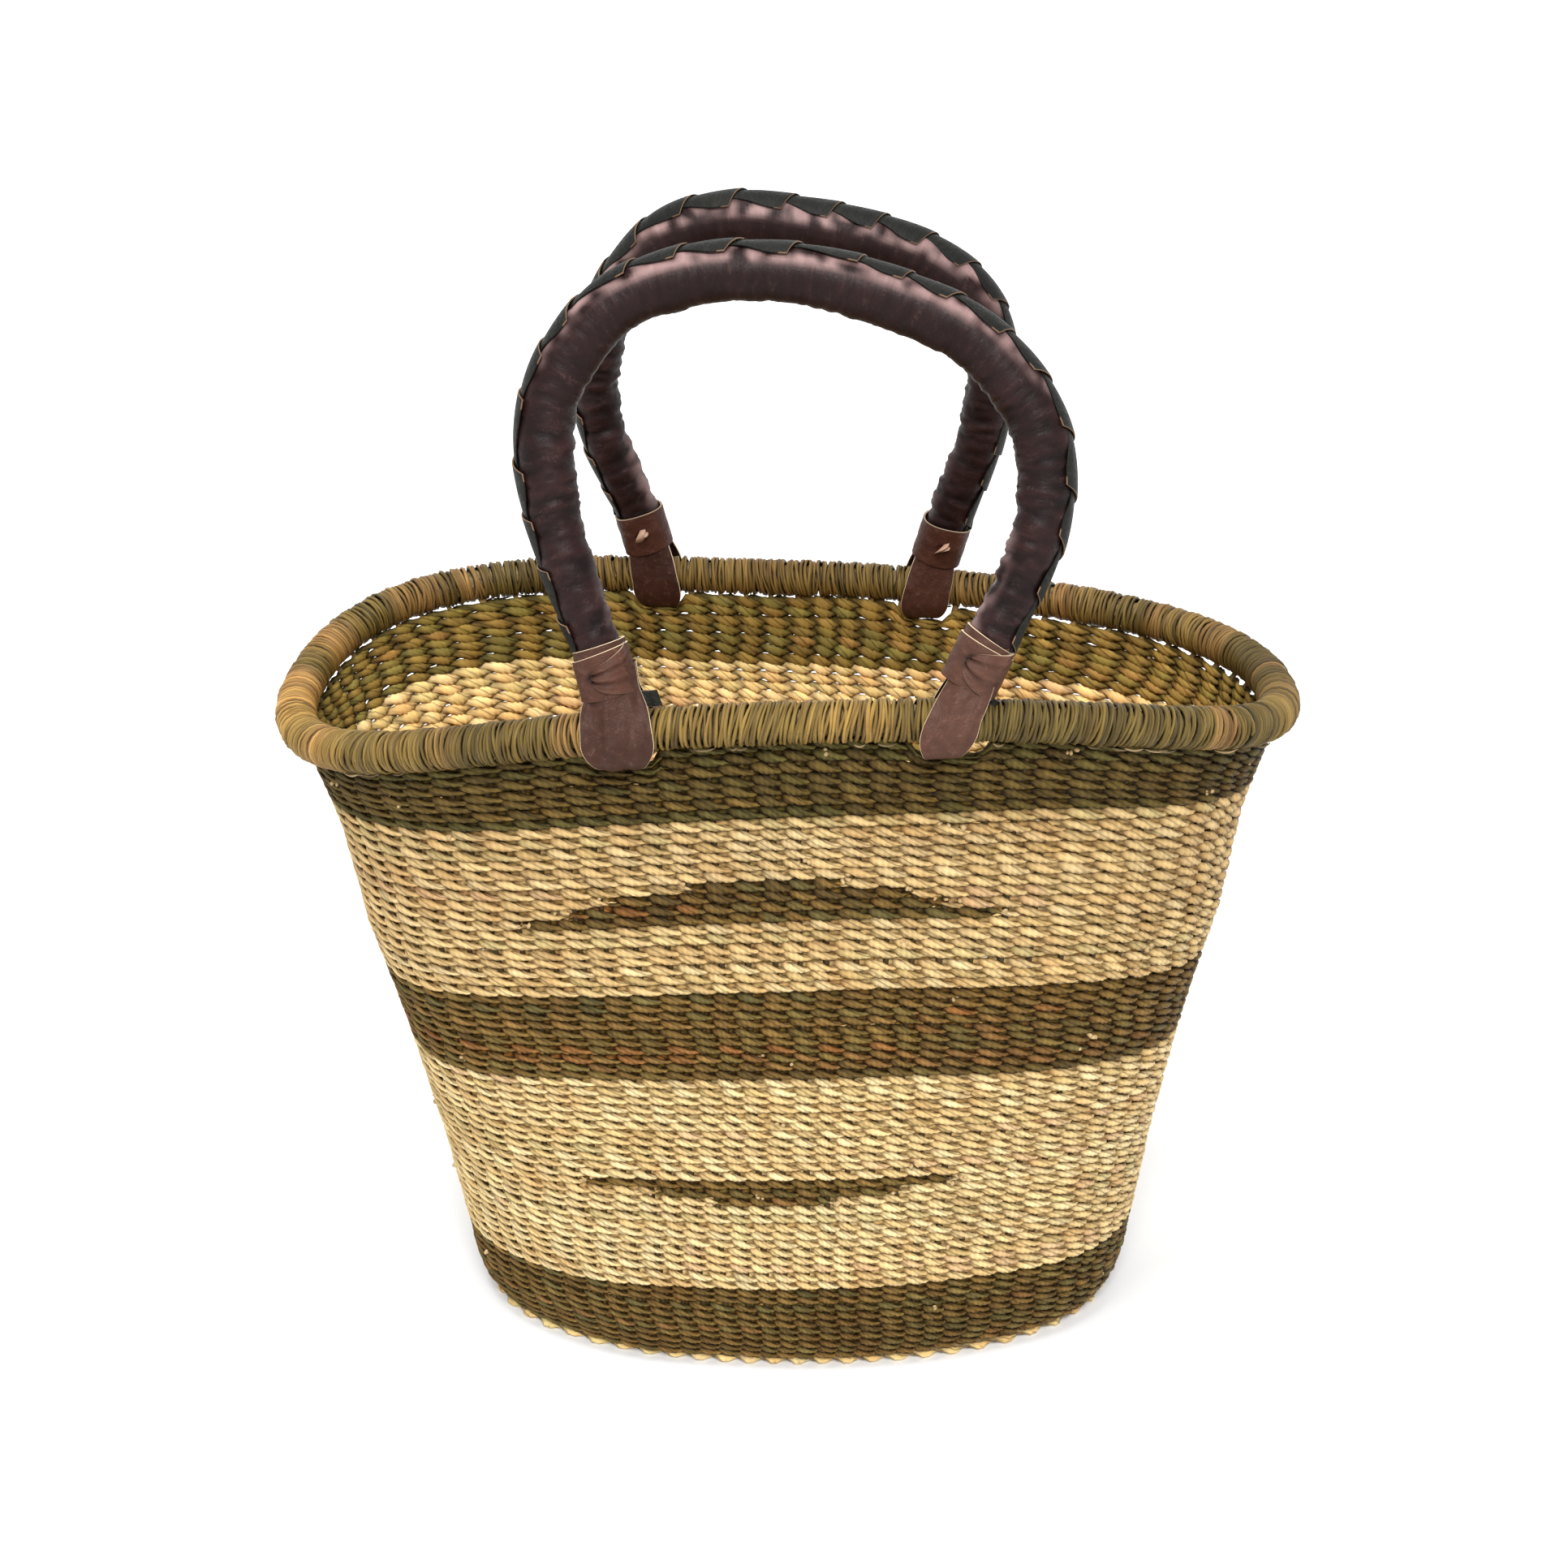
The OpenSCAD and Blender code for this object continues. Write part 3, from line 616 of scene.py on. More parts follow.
# Rows of each band, with the arcs of the dark crescents as half widths in stakes, lowest row first
LOWER_ARCS = {10: 2.7, 11: 5.6, 12: 7.9}
UPPER_ARCS = {0: 8.4, 1: 6.6, 2: 5.4, 3: 2.8}
CRESCENT_SHIFT = -0.5   # the crescents sit a little left of the middle


def crescent_arcs(half_width):
    """The dark arcs and the straw arcs of a row that a front and a back crescent share."""
    ends = [(c + CRESCENT_SHIFT - half_width, c + CRESCENT_SHIFT + half_width) for c in (BACK_U, FRONT_U)]
    ends = [(round(a * 5) / 5, round(b * 5) / 5) for a, b in ends]
    straw = [(ends[0][1] - 0.2, ends[1][0] + 0.2), (ends[1][1] - 0.2, ends[0][0] + STAKES + 0.2)]
    return ends, straw


def right_end_height(edge):
    return float(edge(np.zeros(1))[0])


def make_band(name, node_name, low, high, rows, kind, arcs=None, ends=8,
              mean_run=14, spread=0.06, looseness=1.0, dip=0):
    """The rows of one band, with a number of cut ends scattered over them."""
    palette, slot = kind
    mesher = Mesher()
    for row in range(rows):
        straw = crescent_arcs(arcs[row])[1] if arcs and row in arcs else None
        lay_row(mesher, low, high, row, rows, palette, straw, mean_run, spread, looseness, dip)
    scatter_ends(mesher, right_end_height(low) + 0.01, right_end_height(high) - 0.01, ends)
    place(mesher, name, slot, node_name)


def make_crescents(name, low, high, rows, arcs):
    palette, slot = DARK
    bottom = right_end_height(low)
    for index, where in enumerate(("back", "front")):
        mesher = Mesher()
        for row, half_width in arcs.items():
            span = crescent_arcs(half_width)[0][index]
            lay_row(mesher, low, high, row, rows, palette, [span], 6, 0.07)
            height = bottom + (row + 0.5) / rows * (right_end_height(high) - bottom)
            for u in span:
                for _ in range(3):
                    cut_end(mesher, u + 0.2 * chance.normal(), height + 0.003 * chance.normal())
        crescent = f"{name}_crescent_{where}"
        place(mesher, f"{crescent}_weave", slot, crescent)


make_band("foot_weave", "foot_band", level(0), level(FOOT_TOP), 10, DARK,
          ends=5, mean_run=10, spread=0.08)
make_band("lower_straw_weave", "lower_straw_rows", level(FOOT_TOP), level(LOWER_CRESCENT), 13, STRAW,
          LOWER_ARCS)
make_crescents("lower", level(FOOT_TOP), level(LOWER_CRESCENT), 13, LOWER_ARCS)
make_band("mid_straw_weave", "mid_straw_rows", level(LOWER_CRESCENT), level(MIDDLE_BOTTOM), 12, STRAW,
          ends=12)
make_band("middle_weave", "middle_band", level(MIDDLE_BOTTOM), level(MIDDLE_TOP), 10, DARK,
          ends=18, mean_run=8, spread=0.08)
make_band("upper_straw_weave", "upper_straw_rows", level(MIDDLE_TOP), level(UPPER_CRESCENT), 7, STRAW,
          ends=10)
make_band("high_straw_weave", "high_straw_rows", level(UPPER_CRESCENT), top_band_low, 10, STRAW,
          UPPER_ARCS, ends=16)
make_crescents("upper", level(UPPER_CRESCENT), top_band_low, 10, UPPER_ARCS)
make_band("top_weave", "top_band", top_band_low, top_band_high, 7, DARK_TOP,
          ends=14, mean_run=8, spread=0.07, looseness=1.05, dip=7)

# ---- base ----

BASE_ROWS = 18
BASE_PITCH = 5
BASE_STEPS = 4   # steps between two crossings of a base row


def make_base_row(mesher, inset, pitch, palette, out, deep, shade=1.0):
    half_length, half_depth = WALL_PROFILE[0, 1] - inset, WALL_PROFILE[0, 2] - inset
    perimeter = TURN * math.sqrt((half_length ** 2 + half_depth ** 2) / 2)
    crossings = max(10, 2 * round(perimeter / STAKE_SPACING / 2))
    u = np.arange(crossings * BASE_STEPS) / BASE_STEPS
    angle = (u + 0.5) * TURN / crossings

    def ring(a):
        dx, dy = plan_direction(a, BASE_SQUARENESS)
        return stacked(half_length * dx, half_depth * dy, BASE_THICKNESS / 2)

    along = unit(ring(angle + SMALL_ANGLE) - ring(angle - SMALL_ANGLE))
    outward = np.broadcast_to(np.array([0, 0, 1.0]), along.shape)
    upward = np.cross(outward, along)
    for phase in (0, 1):
        colours = runs_of_colour(crossings + 2, palette, 14, 0.06)
        tint = colours[np.floor(u + 0.5).astype(int) % crossings] * shade
        twined_strand(mesher, ring(angle), outward, upward, np.full(len(u), pitch), u, phase,
                      tint, True, out, deep)


def make_base():
    mesher = Mesher()
    for row in range(BASE_ROWS):
        inset = EDGE_ROW_WIDTH + BASE_PITCH * (row + 0.5)
        make_base_row(mesher, inset, BASE_PITCH, NATURAL, 1.25, 1.1)
    place(mesher, "base_weave", "natural_straw", "woven_base")
    mesher = Mesher()
    # the base's edge row is darkened by painted shade
    make_base_row(mesher, EDGE_ROW_WIDTH / 2 + 0.7, EDGE_ROW_WIDTH, NATURAL, 1.2, 1.2, 0.55)
    place(mesher, "base_edge_weave", "natural_straw", "base_edge_row")


make_base()

# ---- stakes ----

STAKE_RADIUS = 1.35
STAKE_END_BELOW_RIM = 4     # how far below the rim's centre line a stake ends
IN_WALL, IN_GAP = 0.2, 0.75   # a stake's painted shade where it is hidden in the wall and where it shows under the rim


def make_stakes():
    mesher = Mesher()
    heights = np.array([0, 0.03, 0.06, 0.15, 0.3, 0.4, 0.5, 0.6, 0.7, 0.8, 0.88, 0.96, 1.0])
    for i in range(STAKES):
        angle = stake_angle(i) + stake_drift(i, heights) * TURN / STAKES
        middle, outward, upward = wall_frame(angle, heights)
        middle = middle + outward * uneven(angle, heights)[:, None]
        if loop_nearness(middle[-1:])[0] > 0.3:
            middle, outward, upward = middle[:-1], outward[:-1], upward[:-1]
        else:
            top = rim_point(angle[-1:]) - [0, 0, STAKE_END_BELOW_RIM]
            middle = np.concatenate([middle, top])
            outward = np.concatenate([outward, outward[-1:]])
            upward = np.concatenate([upward, upward[-1:]])
        sideways = np.cross(upward, outward)
        radius = STAKE_RADIUS * (1 + 0.12 * chance.normal(size=(len(middle), 1)))
        rings = rings_about(middle, outward, sideways, radius, radius * 1.1, circle(8))
        hidden = np.arange(len(rings)) < len(heights) - 1
        shade = np.where(hidden, IN_WALL, IN_GAP) * (0.8 + 0.4 * chance.random())
        mesher.tube(rings, RIM_STRAW * shade[:, None])
    place(mesher, "stake_grass", "stake_straw", "stakes")


make_stakes()

# ---- rim ----

WRAP_SPACING = 1.4
WRAP_STEPS = 16
LOOSE_BLADES = 22            # on each half of the rim
BACK_SHADE = 0.74            # of the wraps on the back half
RIM_ANGLES = np.linspace(0, TURN, 4001)
RIM_LENGTHS = lengths_along(rim_point(RIM_ANGLES))
RIM_LENGTH = RIM_LENGTHS[-1]
# A wrap's outline, from edge to edge over the top and back underneath
WRAP_ACROSS = np.array([-1, -0.6, 0, 0.6, 1, 0.5, -0.5])
WRAP_LIFT = np.array([-1.3, 0, 0.35, 0, -1.3, -1.6, -1.6])
# painted shade at a wrap's edges and underneath, where it meets its neighbours, and painted light on its
# crown
WRAP_SHADE = np.array([0.22, 0.85, 1.2, 0.85, 0.22, 0.2, 0.2])[None, :, None]


def rim_frame(distance):
    """The rim's centre line at a distance round it, with the directions along, outward and upward."""
    angle = np.interp(distance % RIM_LENGTH, RIM_LENGTHS, RIM_ANGLES)
    along = unit(rim_point(angle + SMALL_ANGLE) - rim_point(angle - SMALL_ANGLE))
    outward = unit(stacked(along[..., 1], -along[..., 0], 0.0))
    return rim_point(angle), along, outward, np.cross(outward, along)


def wrap_colours(count):
    """Straw, olive and tan wraps in slow runs, with a pale stretch at the rim's left end."""
    where = np.arange(count) / count
    left_end = np.exp(-((where - 0.5) / 0.09) ** 2)
    olive = smooth_step(0.55 + 0.8 * slow_noise(count, 12, 21) - 0.5 * left_end)[:, None]
    tan = smooth_step(-0.35 + 1.2 * slow_noise(count, 4, 22) + 0.6 * left_end)[:, None]
    colours = RIM_STRAW * (1 - olive) + RIM_OLIVE * olive
    colours = colours * (1 - tan) + RIM_TAN * tan
    colours = colours * (1 + 0.6 * left_end[:, None])
    return colours * np.clip(1 + 0.26 * chance.normal(size=(count, 1)), 0.45, 1.5)


def make_wrap(halves, index, distance, lean, colour):
    """One turn of grass round the rim, on the front half or the back half."""
    turn = circle(WRAP_STEPS)
    wobble = 0.4 * np.sin(2 * turn + TURN * chance.random())
    centre, along, outward, upward = rim_frame(distance + lean * np.sin(turn - 0.4) + wobble)
    half_width = 0.84 + 0.28 * chance.random() + 0.2 * np.sin(turn * 3 + TURN * chance.random())
    radius = RIM_RADIUS - 0.5 + 0.35 * np.clip(chance.normal(), -1.4, 1.4)
    groove = np.array([1, 0, 0.9 if chance.random() < 0.2 else 0, 0, 1, 1, 1])
    offset = WRAP_ACROSS[None, :] * half_width[:, None]
    offset[:, 2] += 0.25 * np.sin(turn + TURN * chance.random())
    away = outward * np.cos(turn)[:, None] + upward * np.sin(turn)[:, None]
    rings = (centre[:, None, :] + along[:, None, :] * offset[..., None]
             + away[:, None, :] * (radius + 0.9 * WRAP_LIFT)[None, :, None])
    grain = stacked(turn[:, None] * RIM_RADIUS + grain_start(), WRAP_ACROSS * 1.5 + index, 0.0)
    where, shade = ("back", BACK_SHADE) if centre[0, 1] > 0 else ("front", 1)
    halves[where].tube(rings, colour * WRAP_SHADE * shade, groove, grain, True)


def make_rim():
    count = round(RIM_LENGTH / WRAP_SPACING)
    distance = (np.arange(count) + 0.16 * chance.normal(size=count)) * RIM_LENGTH / count
    colours = wrap_colours(count)
    lean = 1.1 + 1.3 * slow_noise(count, 5, 5) + 0.5 * chance.normal(size=count)
    halves = {"back": Mesher(), "front": Mesher()}
    for i in range(count):
        make_wrap(halves, i, distance[i], lean[i], colours[i])
    for where, mesher in halves.items():
        for _ in range(LOOSE_BLADES):
            loose_blade(mesher, where)
        place(mesher, f"rim_wraps_{where}", "rim_straw", f"rim_binding_{where}")


def loose_blade(mesher, where):
    """A loose end of a wrap that lies along the rim's underside."""
    start = RIM_LENGTH * (0.5 * chance.random() + (0.5 if where == "front" else 0))
    length = 4 + 7 * chance.random()
    t = np.linspace(0, 1, 6)
    centre, along, outward, upward = rim_frame(start + t * length)
    low = math.radians(-62 - 30 * chance.random())
    slope = math.radians(20 * chance.normal())
    angle = low + slope * t
    radius = (RIM_RADIUS + 0.5 + 0.9 * np.sin(t * math.pi))[:, None]
    away = outward * np.cos(angle)[:, None] + upward * np.sin(angle)[:, None]
    size = 0.75 * np.array([0.5, 1, 1, 1, 0.9, 0.35])[:, None]
    rings = rings_about(centre + away * radius, away, np.cross(along, away), size * 0.6, size, circle(6))
    mesher.tube(rings, CREAM * (0.25 + 0.35 * chance.random()))


make_rim()
for material_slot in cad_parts["rim_core"].material_slots:
    material_slot.material = core_material()


# ---- handles ----

def turn_about(axis, angle):
    return np.array(Matrix.Rotation(angle, 3, axis))


class Leg:
    """A handle's foot: where it holds the rim and how it leans, in the handle's own frame."""

    def __init__(self, foot_x, end):
        self.foot_x = foot_x
        self.lean = math.atan2(end[0] - foot_x, end[1])

    def along(self, distance):
        return (self.foot_x + distance * math.sin(self.lean), distance * math.cos(self.lean))

    def to_handle(self, points):
        turned = points @ turn_about("Y", self.lean).T
        return turned + np.array([self.foot_x, 0, 0])


class Handle:
    """A handle's frame, in which x runs along the hinge line and z up the handle."""

    def __init__(self, where):
        self.where, side = where, SIDE[where]
        left, right = (rim_point_at(x, side) for x in LOOPS_AT[where])
        along = right - left
        span = np.linalg.norm(along)
        self.middle = (left + right) / 2
        self.turn = (turn_about("Z", math.atan2(along[1], along[0]))
                     @ turn_about("Y", -math.asin(along[2] / span)) @ turn_about("X", side * HANDLE_LEAN))
        route = ROUTES[where]
        self.legs = {"left": Leg(-span / 2, route[0]), "right": Leg(span / 2, route[-1])}
        stubs = (NECK_LENGTH, NECK_LENGTH + 7)
        whole = ([self.legs["left"].along(d) for d in stubs] + list(route)
                 + [self.legs["right"].along(d) for d in reversed(stubs)])
        self.route = even_route(np.array(whole, float))

    def in_basket(self, points):
        """The handle's own points in the basket's frame."""
        return points @ self.turn.T + self.middle

    def place(self, mesher, name, slot, *nodes):
        """Adds a piece of this handle. The names of the piece and of its nodes begin with front or back."""
        nodes = [f"{self.where}_{node_name}" for node_name in nodes]
        place(mesher, f"{self.where}_{name}", slot, *nodes, body=f"{self.where}_handle")


def even_route(points, spacing=1.4):
    """Points evenly along a smooth curve through the given ones, and how far along it each is."""
    steps = 24
    padded = np.vstack([points[:1], points, points[-1:]])
    curve = []
    for i in range(len(points) - 1):
        a, b, c, d = padded[i:i + 4]
        t = (np.arange(steps) / steps)[:, None]
        curve.append(b + 0.5 * t * (c - a + t * (2 * a - 5 * b + 4 * c - d + t * (3 * (b - c) + d - a))))
    curve = np.vstack([*curve, points[-1:]])
    length = lengths_along(curve)
    even = np.linspace(0, length[-1], round(length[-1] / spacing))
    return np.stack([np.interp(even, length, curve[:, k]) for k in range(2)], -1), even


def sleeve_radius(z):
    f = np.clip((z - CUFF_TOP) / (SWELL_HEIGHT - CUFF_TOP), 0, 1)
    return FOOT_RADIUS + (GRIP_RADIUS - FOOT_RADIUS) * f


def outward_of(route):
    """The direction out of a handle's arch at each point of its route."""
    along = unit(np.gradient(route, axis=0))
    return stacked(-along[:, 1], along[:, 0])


def field(points, seed):
    """Smooth noise at each of some points."""
    return np.array([noise.noise(Vector(p) + Vector((seed, 0, 0))) for p in points.reshape(-1, 3)]
                    ).reshape(points.shape[:-1])


LEATHER_DARK = linear((32, 16, 15))
# the colour of the painted highlight on the sleeve's upper side
LEATHER_HIGHLIGHT = linear((142, 116, 113))
LACE_BLACK = linear((20, 21, 17))
LOOP_BROWN = {"front": linear((62, 37, 27)), "back": linear((54, 29, 20))}
FADED = np.array([1.65, 1.8, 1.95])   # the right straps are lighter and greyer
KNOT_COLOUR = linear((178, 142, 120))
KNOT_HEIGHT = 27                      # along a back leg
SLEEVE_SIDES = 48
LACE_PITCH = 22
BACKWARD = np.array([0, 1.0, 0])      # square to a handle, in its own frame


def make_sleeve(handle):
    """The leather sleeve: folded most on the legs and on the arch's inside, with painted shade in the
    valleys of its folds and painted light on their crests, and a painted highlight where it faces up.
    """
    route, length = handle.route
    out = outward_of(route)
    turn = circle(SLEEVE_SIDES)
    inner = (1 - np.cos(turn)) / 2
    legs = 0.35 + 0.65 * smooth_step((165 - route[:, 1]) / 60)
    at = stacked(length[:, None], np.cos(turn), np.sin(turn))
    seed = 40 if handle.where == "front" else 90
    folds = field(at * [0.30, 0.8, 0.8], seed)
    creases = field(at * [0.55, 1.1, 1.1], seed + 7)
    scallops = field(at * [0.13, 0.5, 0.5], seed + 13)
    lumps = field(at * [0.035, 0.6, 0.6], seed + 21)
    sharp = -np.clip(1 - np.abs(creases) / 0.16, 0, 1)
    swell = (legs[:, None] * ((0.4 + 0.6 * inner) * (1.3 * folds + 0.6 * sharp) + 1.5 * inner ** 2 * scallops)
             + 1.1 * lumps)
    quiet = smooth_step((route[:, 1] - 30) / 14)[:, None]
    radius = sleeve_radius(route[:, 1])[:, None] + swell * quiet - 0.1
    centre = stacked(route[:, 0], 0.0, route[:, 1])
    outward = stacked(out[:, 0], 0.0, out[:, 1])
    rings = rings_about(centre, outward, BACKWARD[None, :], radius, radius, turn)
    mesher = Mesher()
    # painted highlight on the parts of the sleeve that face up
    facing_up = smooth_step((out[:, 1:] * np.cos(turn) - 0.18) / 0.4)
    painted_highlight = facing_up * np.clip(0.6 + 1.6 * field(at * [0.16, 1.6, 1.6], seed + 31), 0, 1)
    # painted shade in the valleys of the folds on the legs, and painted light on their crests
    painted_fold_shade = legs[:, None] * np.clip(1.1 * folds + 0.4 * sharp, -0.6, 0.6)
    tint = LEATHER_DARK * (1 + painted_fold_shade)[..., None] + LEATHER_HIGHLIGHT * painted_highlight[..., None]
    mesher.tube(handle.in_basket(rings), tint, 0.0, at)
    handle.place(mesher, "grip_leather", "handle_leather", "sleeve", "rope")


def make_lacing(handle):
    """Whip stitches over the outer edge, each lying on the start of the next, with a slanting cut end."""
    route, length = handle.route
    out = outward_of(route)
    mesher = Mesher()
    columns = 14
    t = np.append(np.linspace(0, 0.99, 13), 1.0)[:, None]
    across = close_to_edges(columns, 9, 0.35)[None, :]
    first, last = 9.0, length[-1] - 12
    count = round((last - first) / LACE_PITCH)
    pitch = (last - first) / count
    for i in range(count + 1):
        start = first - 6 + i * pitch + 0.7 * chance.normal()
        reach = pitch + 10 - (9 + 2 * chance.normal()) * (across + 1) / 2
        at = np.clip(start + t * reach, 1, length[-1] - 1)
        front_edge, back_edge = np.radians([47 + 3 * chance.normal(), 44])
        front = front_edge * (0.5 + 0.5 * smooth_step(t / 0.8))
        swing = np.where(across > 0, front * across, back_edge * across)
        route_x, route_z, out_x, out_z = (np.interp(at, length, v) for v in (*route.T, *out.T))
        centre = stacked(route_x, 0.0, route_z)
        outward = unit(stacked(out_x, 0.0, out_z))
        away = outward * np.cos(swing)[..., None] - BACKWARD * np.sin(swing)[..., None]
        radius = (sleeve_radius(centre[..., 2]) + 0.1 + 1.3 * t + 0.5 * (1 - across ** 2))[..., None]
        rings = strap_rings(centre + away * (radius + 0.25), centre + away * (radius - 0.4))
        mark = np.zeros((len(t), columns))
        mark[-1] = smooth_step((across[0] + 0.3) / 0.3)
        mark[:, -1] = smooth_step((t[:, 0] - 0.8) / 0.1)
        mesher.tube(handle.in_basket(rings), LACE_BLACK * (0.8 + 0.5 * chance.random()), both_faces(mark))
    handle.place(mesher, "lace", "lace_leather", "lacing")


def strap_rings(outer, inner):
    """Rings of a thick strap: its outer face across, then its inner face back."""
    return np.concatenate([outer, inner[:, ::-1]], axis=1)


def both_faces(values):
    """What a strap's outer face has at each place across it, then the same for its inner face."""
    return np.concatenate([values, values[..., ::-1]], -1)


def cut_marks(columns, first=1.0, last=1.0):
    """Marks for a strap's two cut edges."""
    mark = np.zeros(columns)
    mark[0], mark[-1] = first, last
    return both_faces(mark)


def close_to_edges(columns, half_width, edge=0.3):
    """Places across a strap from -1 to 1, with a narrow strip at each edge."""
    inner = 1 - edge / half_width
    return np.concatenate([[-1], np.linspace(-inner, inner, columns - 2), [1]])


LOOP_PATH = [(-10.6, 30), (-10.8, 20), (-11.8, 10), (-12.9, 1), (-12.9, -7), (-9.6, -13.2), (0, -15.4),
             (9.6, -13.2), (12.9, -7), (12.9, 1), (11.8, 10), (10.8, 20), (10.6, 30)]
STRAP = 1.5                # a strap's thickness
FLAT_CURVATURE = 0.012     # of a loop across its width, low down
CURL_RADIUS = 10.8         # of a loop across its width, where it meets the leg


def strap_colour(handle, foot):
    return LOOP_BROWN[handle.where] * (FADED if foot == "right" else 1)


def make_loop(handle, foot, width, folds, sweep):
    """A strap that hangs round the rim, curled round the leg above it and with a rounded, creased bottom."""
    leg = handle.legs[foot]
    path, length = even_route(np.array(LOOP_PATH, float), 1.3)
    along = unit(np.gradient(path, axis=0))
    away = stacked(along[:, 1], -along[:, 0])
    columns = 28
    across = close_to_edges(columns, width / 2)
    z = path[:, 1]
    curl = smooth_step((z - 2) / 20)
    under = smooth_step((-6 - z) / 9)
    rounding = np.clip((-z - 3) / 12.5, 0, 1)
    half = width / 2 * np.sqrt(1 - 0.8 * rounding ** 2) * (1 + 0.02 * np.sin(length / 5))
    curvature = (FLAT_CURVATURE + curl * (1 / CURL_RADIUS - FLAT_CURVATURE))[:, None]
    w = half[:, None] * across
    x = np.sin(curvature * w) / curvature
    back = (1 - np.cos(curvature * w)) / curvature
    at = stacked(length[:, None], w, 0.0)
    seed = leg.foot_x + SIDE[handle.where] * 7
    lift = folds * (1.1 * field(at * [0.035, 0.17, 0], seed) + 0.5 * field(at * [0.09, 0.3, 0], seed + 5))
    lift = lift * smooth_step((24 - z) / 8)[:, None] * (1 - 0.5 * under)[:, None] + 0.25 * folds
    lift = np.clip(lift, -0.5, 1.6)
    sideways = math.tan(leg.lean) * (z * np.where(z > 0, 1, 0.6)) * sweep
    front = np.where(np.arange(len(z)) < len(z) / 2, 1, -1)[:, None]

    def face(offset):
        y = path[:, :1] + away[:, :1] * (lift + offset) + front * back
        height = z[:, None] + away[:, 1:] * (lift + offset)
        return stacked(leg.foot_x + sideways[:, None] + x, y, height)

    mesher = Mesher()
    rings = strap_rings(face(STRAP / 2), face(-STRAP / 2))
    grain = stacked(length[:, None], both_faces(across) * 3, 0.0)
    mesher.tube(handle.in_basket(rings), strap_colour(handle, foot), cut_marks(columns), grain)
    handle.place(mesher, f"{foot}_strap_loop", "loop_leather", f"{foot}_loop")


def bezier(points, t):
    a, b, c = (np.array(p, float) for p in points)
    t = np.asarray(t)[:, None]
    return a * (1 - t) ** 2 + 2 * b * t * (1 - t) + c * t * t


def on_cuff(leg, arc, z, radius):
    """Points on a round surface about the leg, from an arc length off its front and a height along it."""
    angle = arc / CUFF_RADIUS
    return leg.to_handle(stacked(radius * np.sin(angle), -radius * np.cos(angle), z))


def cuff_grain(arc, z):
    return stacked(both_faces(z), both_faces(arc) * 0.15, 0.0)


def cuff_layer(handle, leg, mesher, low, high, lift, tint, dent, seed, cut=1.0):
    """A band of strap wound round the leg, with its top and bottom edges as functions of the arc. A dent
    is the place where another end of the strap goes through it, as an arc and a height; it is pressed in and
    darkened by painted shade."""
    arcs = np.linspace(-math.pi, math.pi, 72, endpoint=False) * CUFF_RADIUS
    columns = 22
    share = (close_to_edges(columns, 10, 0.35) + 1) / 2
    z = low(arcs)[:, None] + (high(arcs) - low(arcs))[:, None] * share
    arc = np.broadcast_to(arcs[:, None], z.shape)
    at = stacked(arc, z, 0.0)
    waves = 0.3 * field(at * [0.09, 0.22, 0], seed) + 0.12 * field(at * [0.3, 0.8, 0], seed + 4)
    shade = np.ones_like(z)
    if dent is not None:
        gap = np.exp(-(((arc - dent[0]) * 0.9 + (z - dent[1]) * 0.5) / 2.2) ** 2
                     - (((z - dent[1]) * 0.9 - (arc - dent[0]) * 0.5) / 1.5) ** 2)
        waves = waves - 2.0 * gap
        # painted shade in the dent
        shade = 1 - 0.93 * np.clip(gap * 1.5, 0, 1)
    radius = CUFF_RADIUS + lift
    rings = strap_rings(on_cuff(leg, arc, z, radius + waves), on_cuff(leg, arc, z, radius - 1.1))
    mesher.tube(handle.in_basket(rings), tint * both_faces(shade)[..., None],
                cut_marks(columns, 0.4 * cut, cut), cuff_grain(arc, z), True)


def make_front_cuff(handle, foot, slit, tilt):
    """Two turns of strap, one over the other. The upper one has a slit."""
    tint = front_strap_colour(handle, foot)
    mesher = Mesher()
    cuff_layer(handle, handle.legs[foot], mesher, lambda a: CUFF_START + 3 + 0 * a,
               lambda a: CUFF_TOP + 1.2 + tilt[0] * np.sin(a / CUFF_RADIUS), -1.0, tint * 0.8, None, 5)
    cuff_layer(handle, handle.legs[foot], mesher,
               lambda a: CUFF_START - 0.6 - 0.8 * np.cos(a / CUFF_RADIUS),
               lambda a: CUFF_TOP - 1.9 + tilt[1] * np.sin(a / CUFF_RADIUS), 0.0, tint, slit, 9)
    handle.place(mesher, f"{foot}_cuff_wrap", "loop_leather", f"{foot}_cuff")


def front_strap_colour(handle, foot):
    return LOOP_BROWN[handle.where] * (FADED if foot == "right" else 1.35)


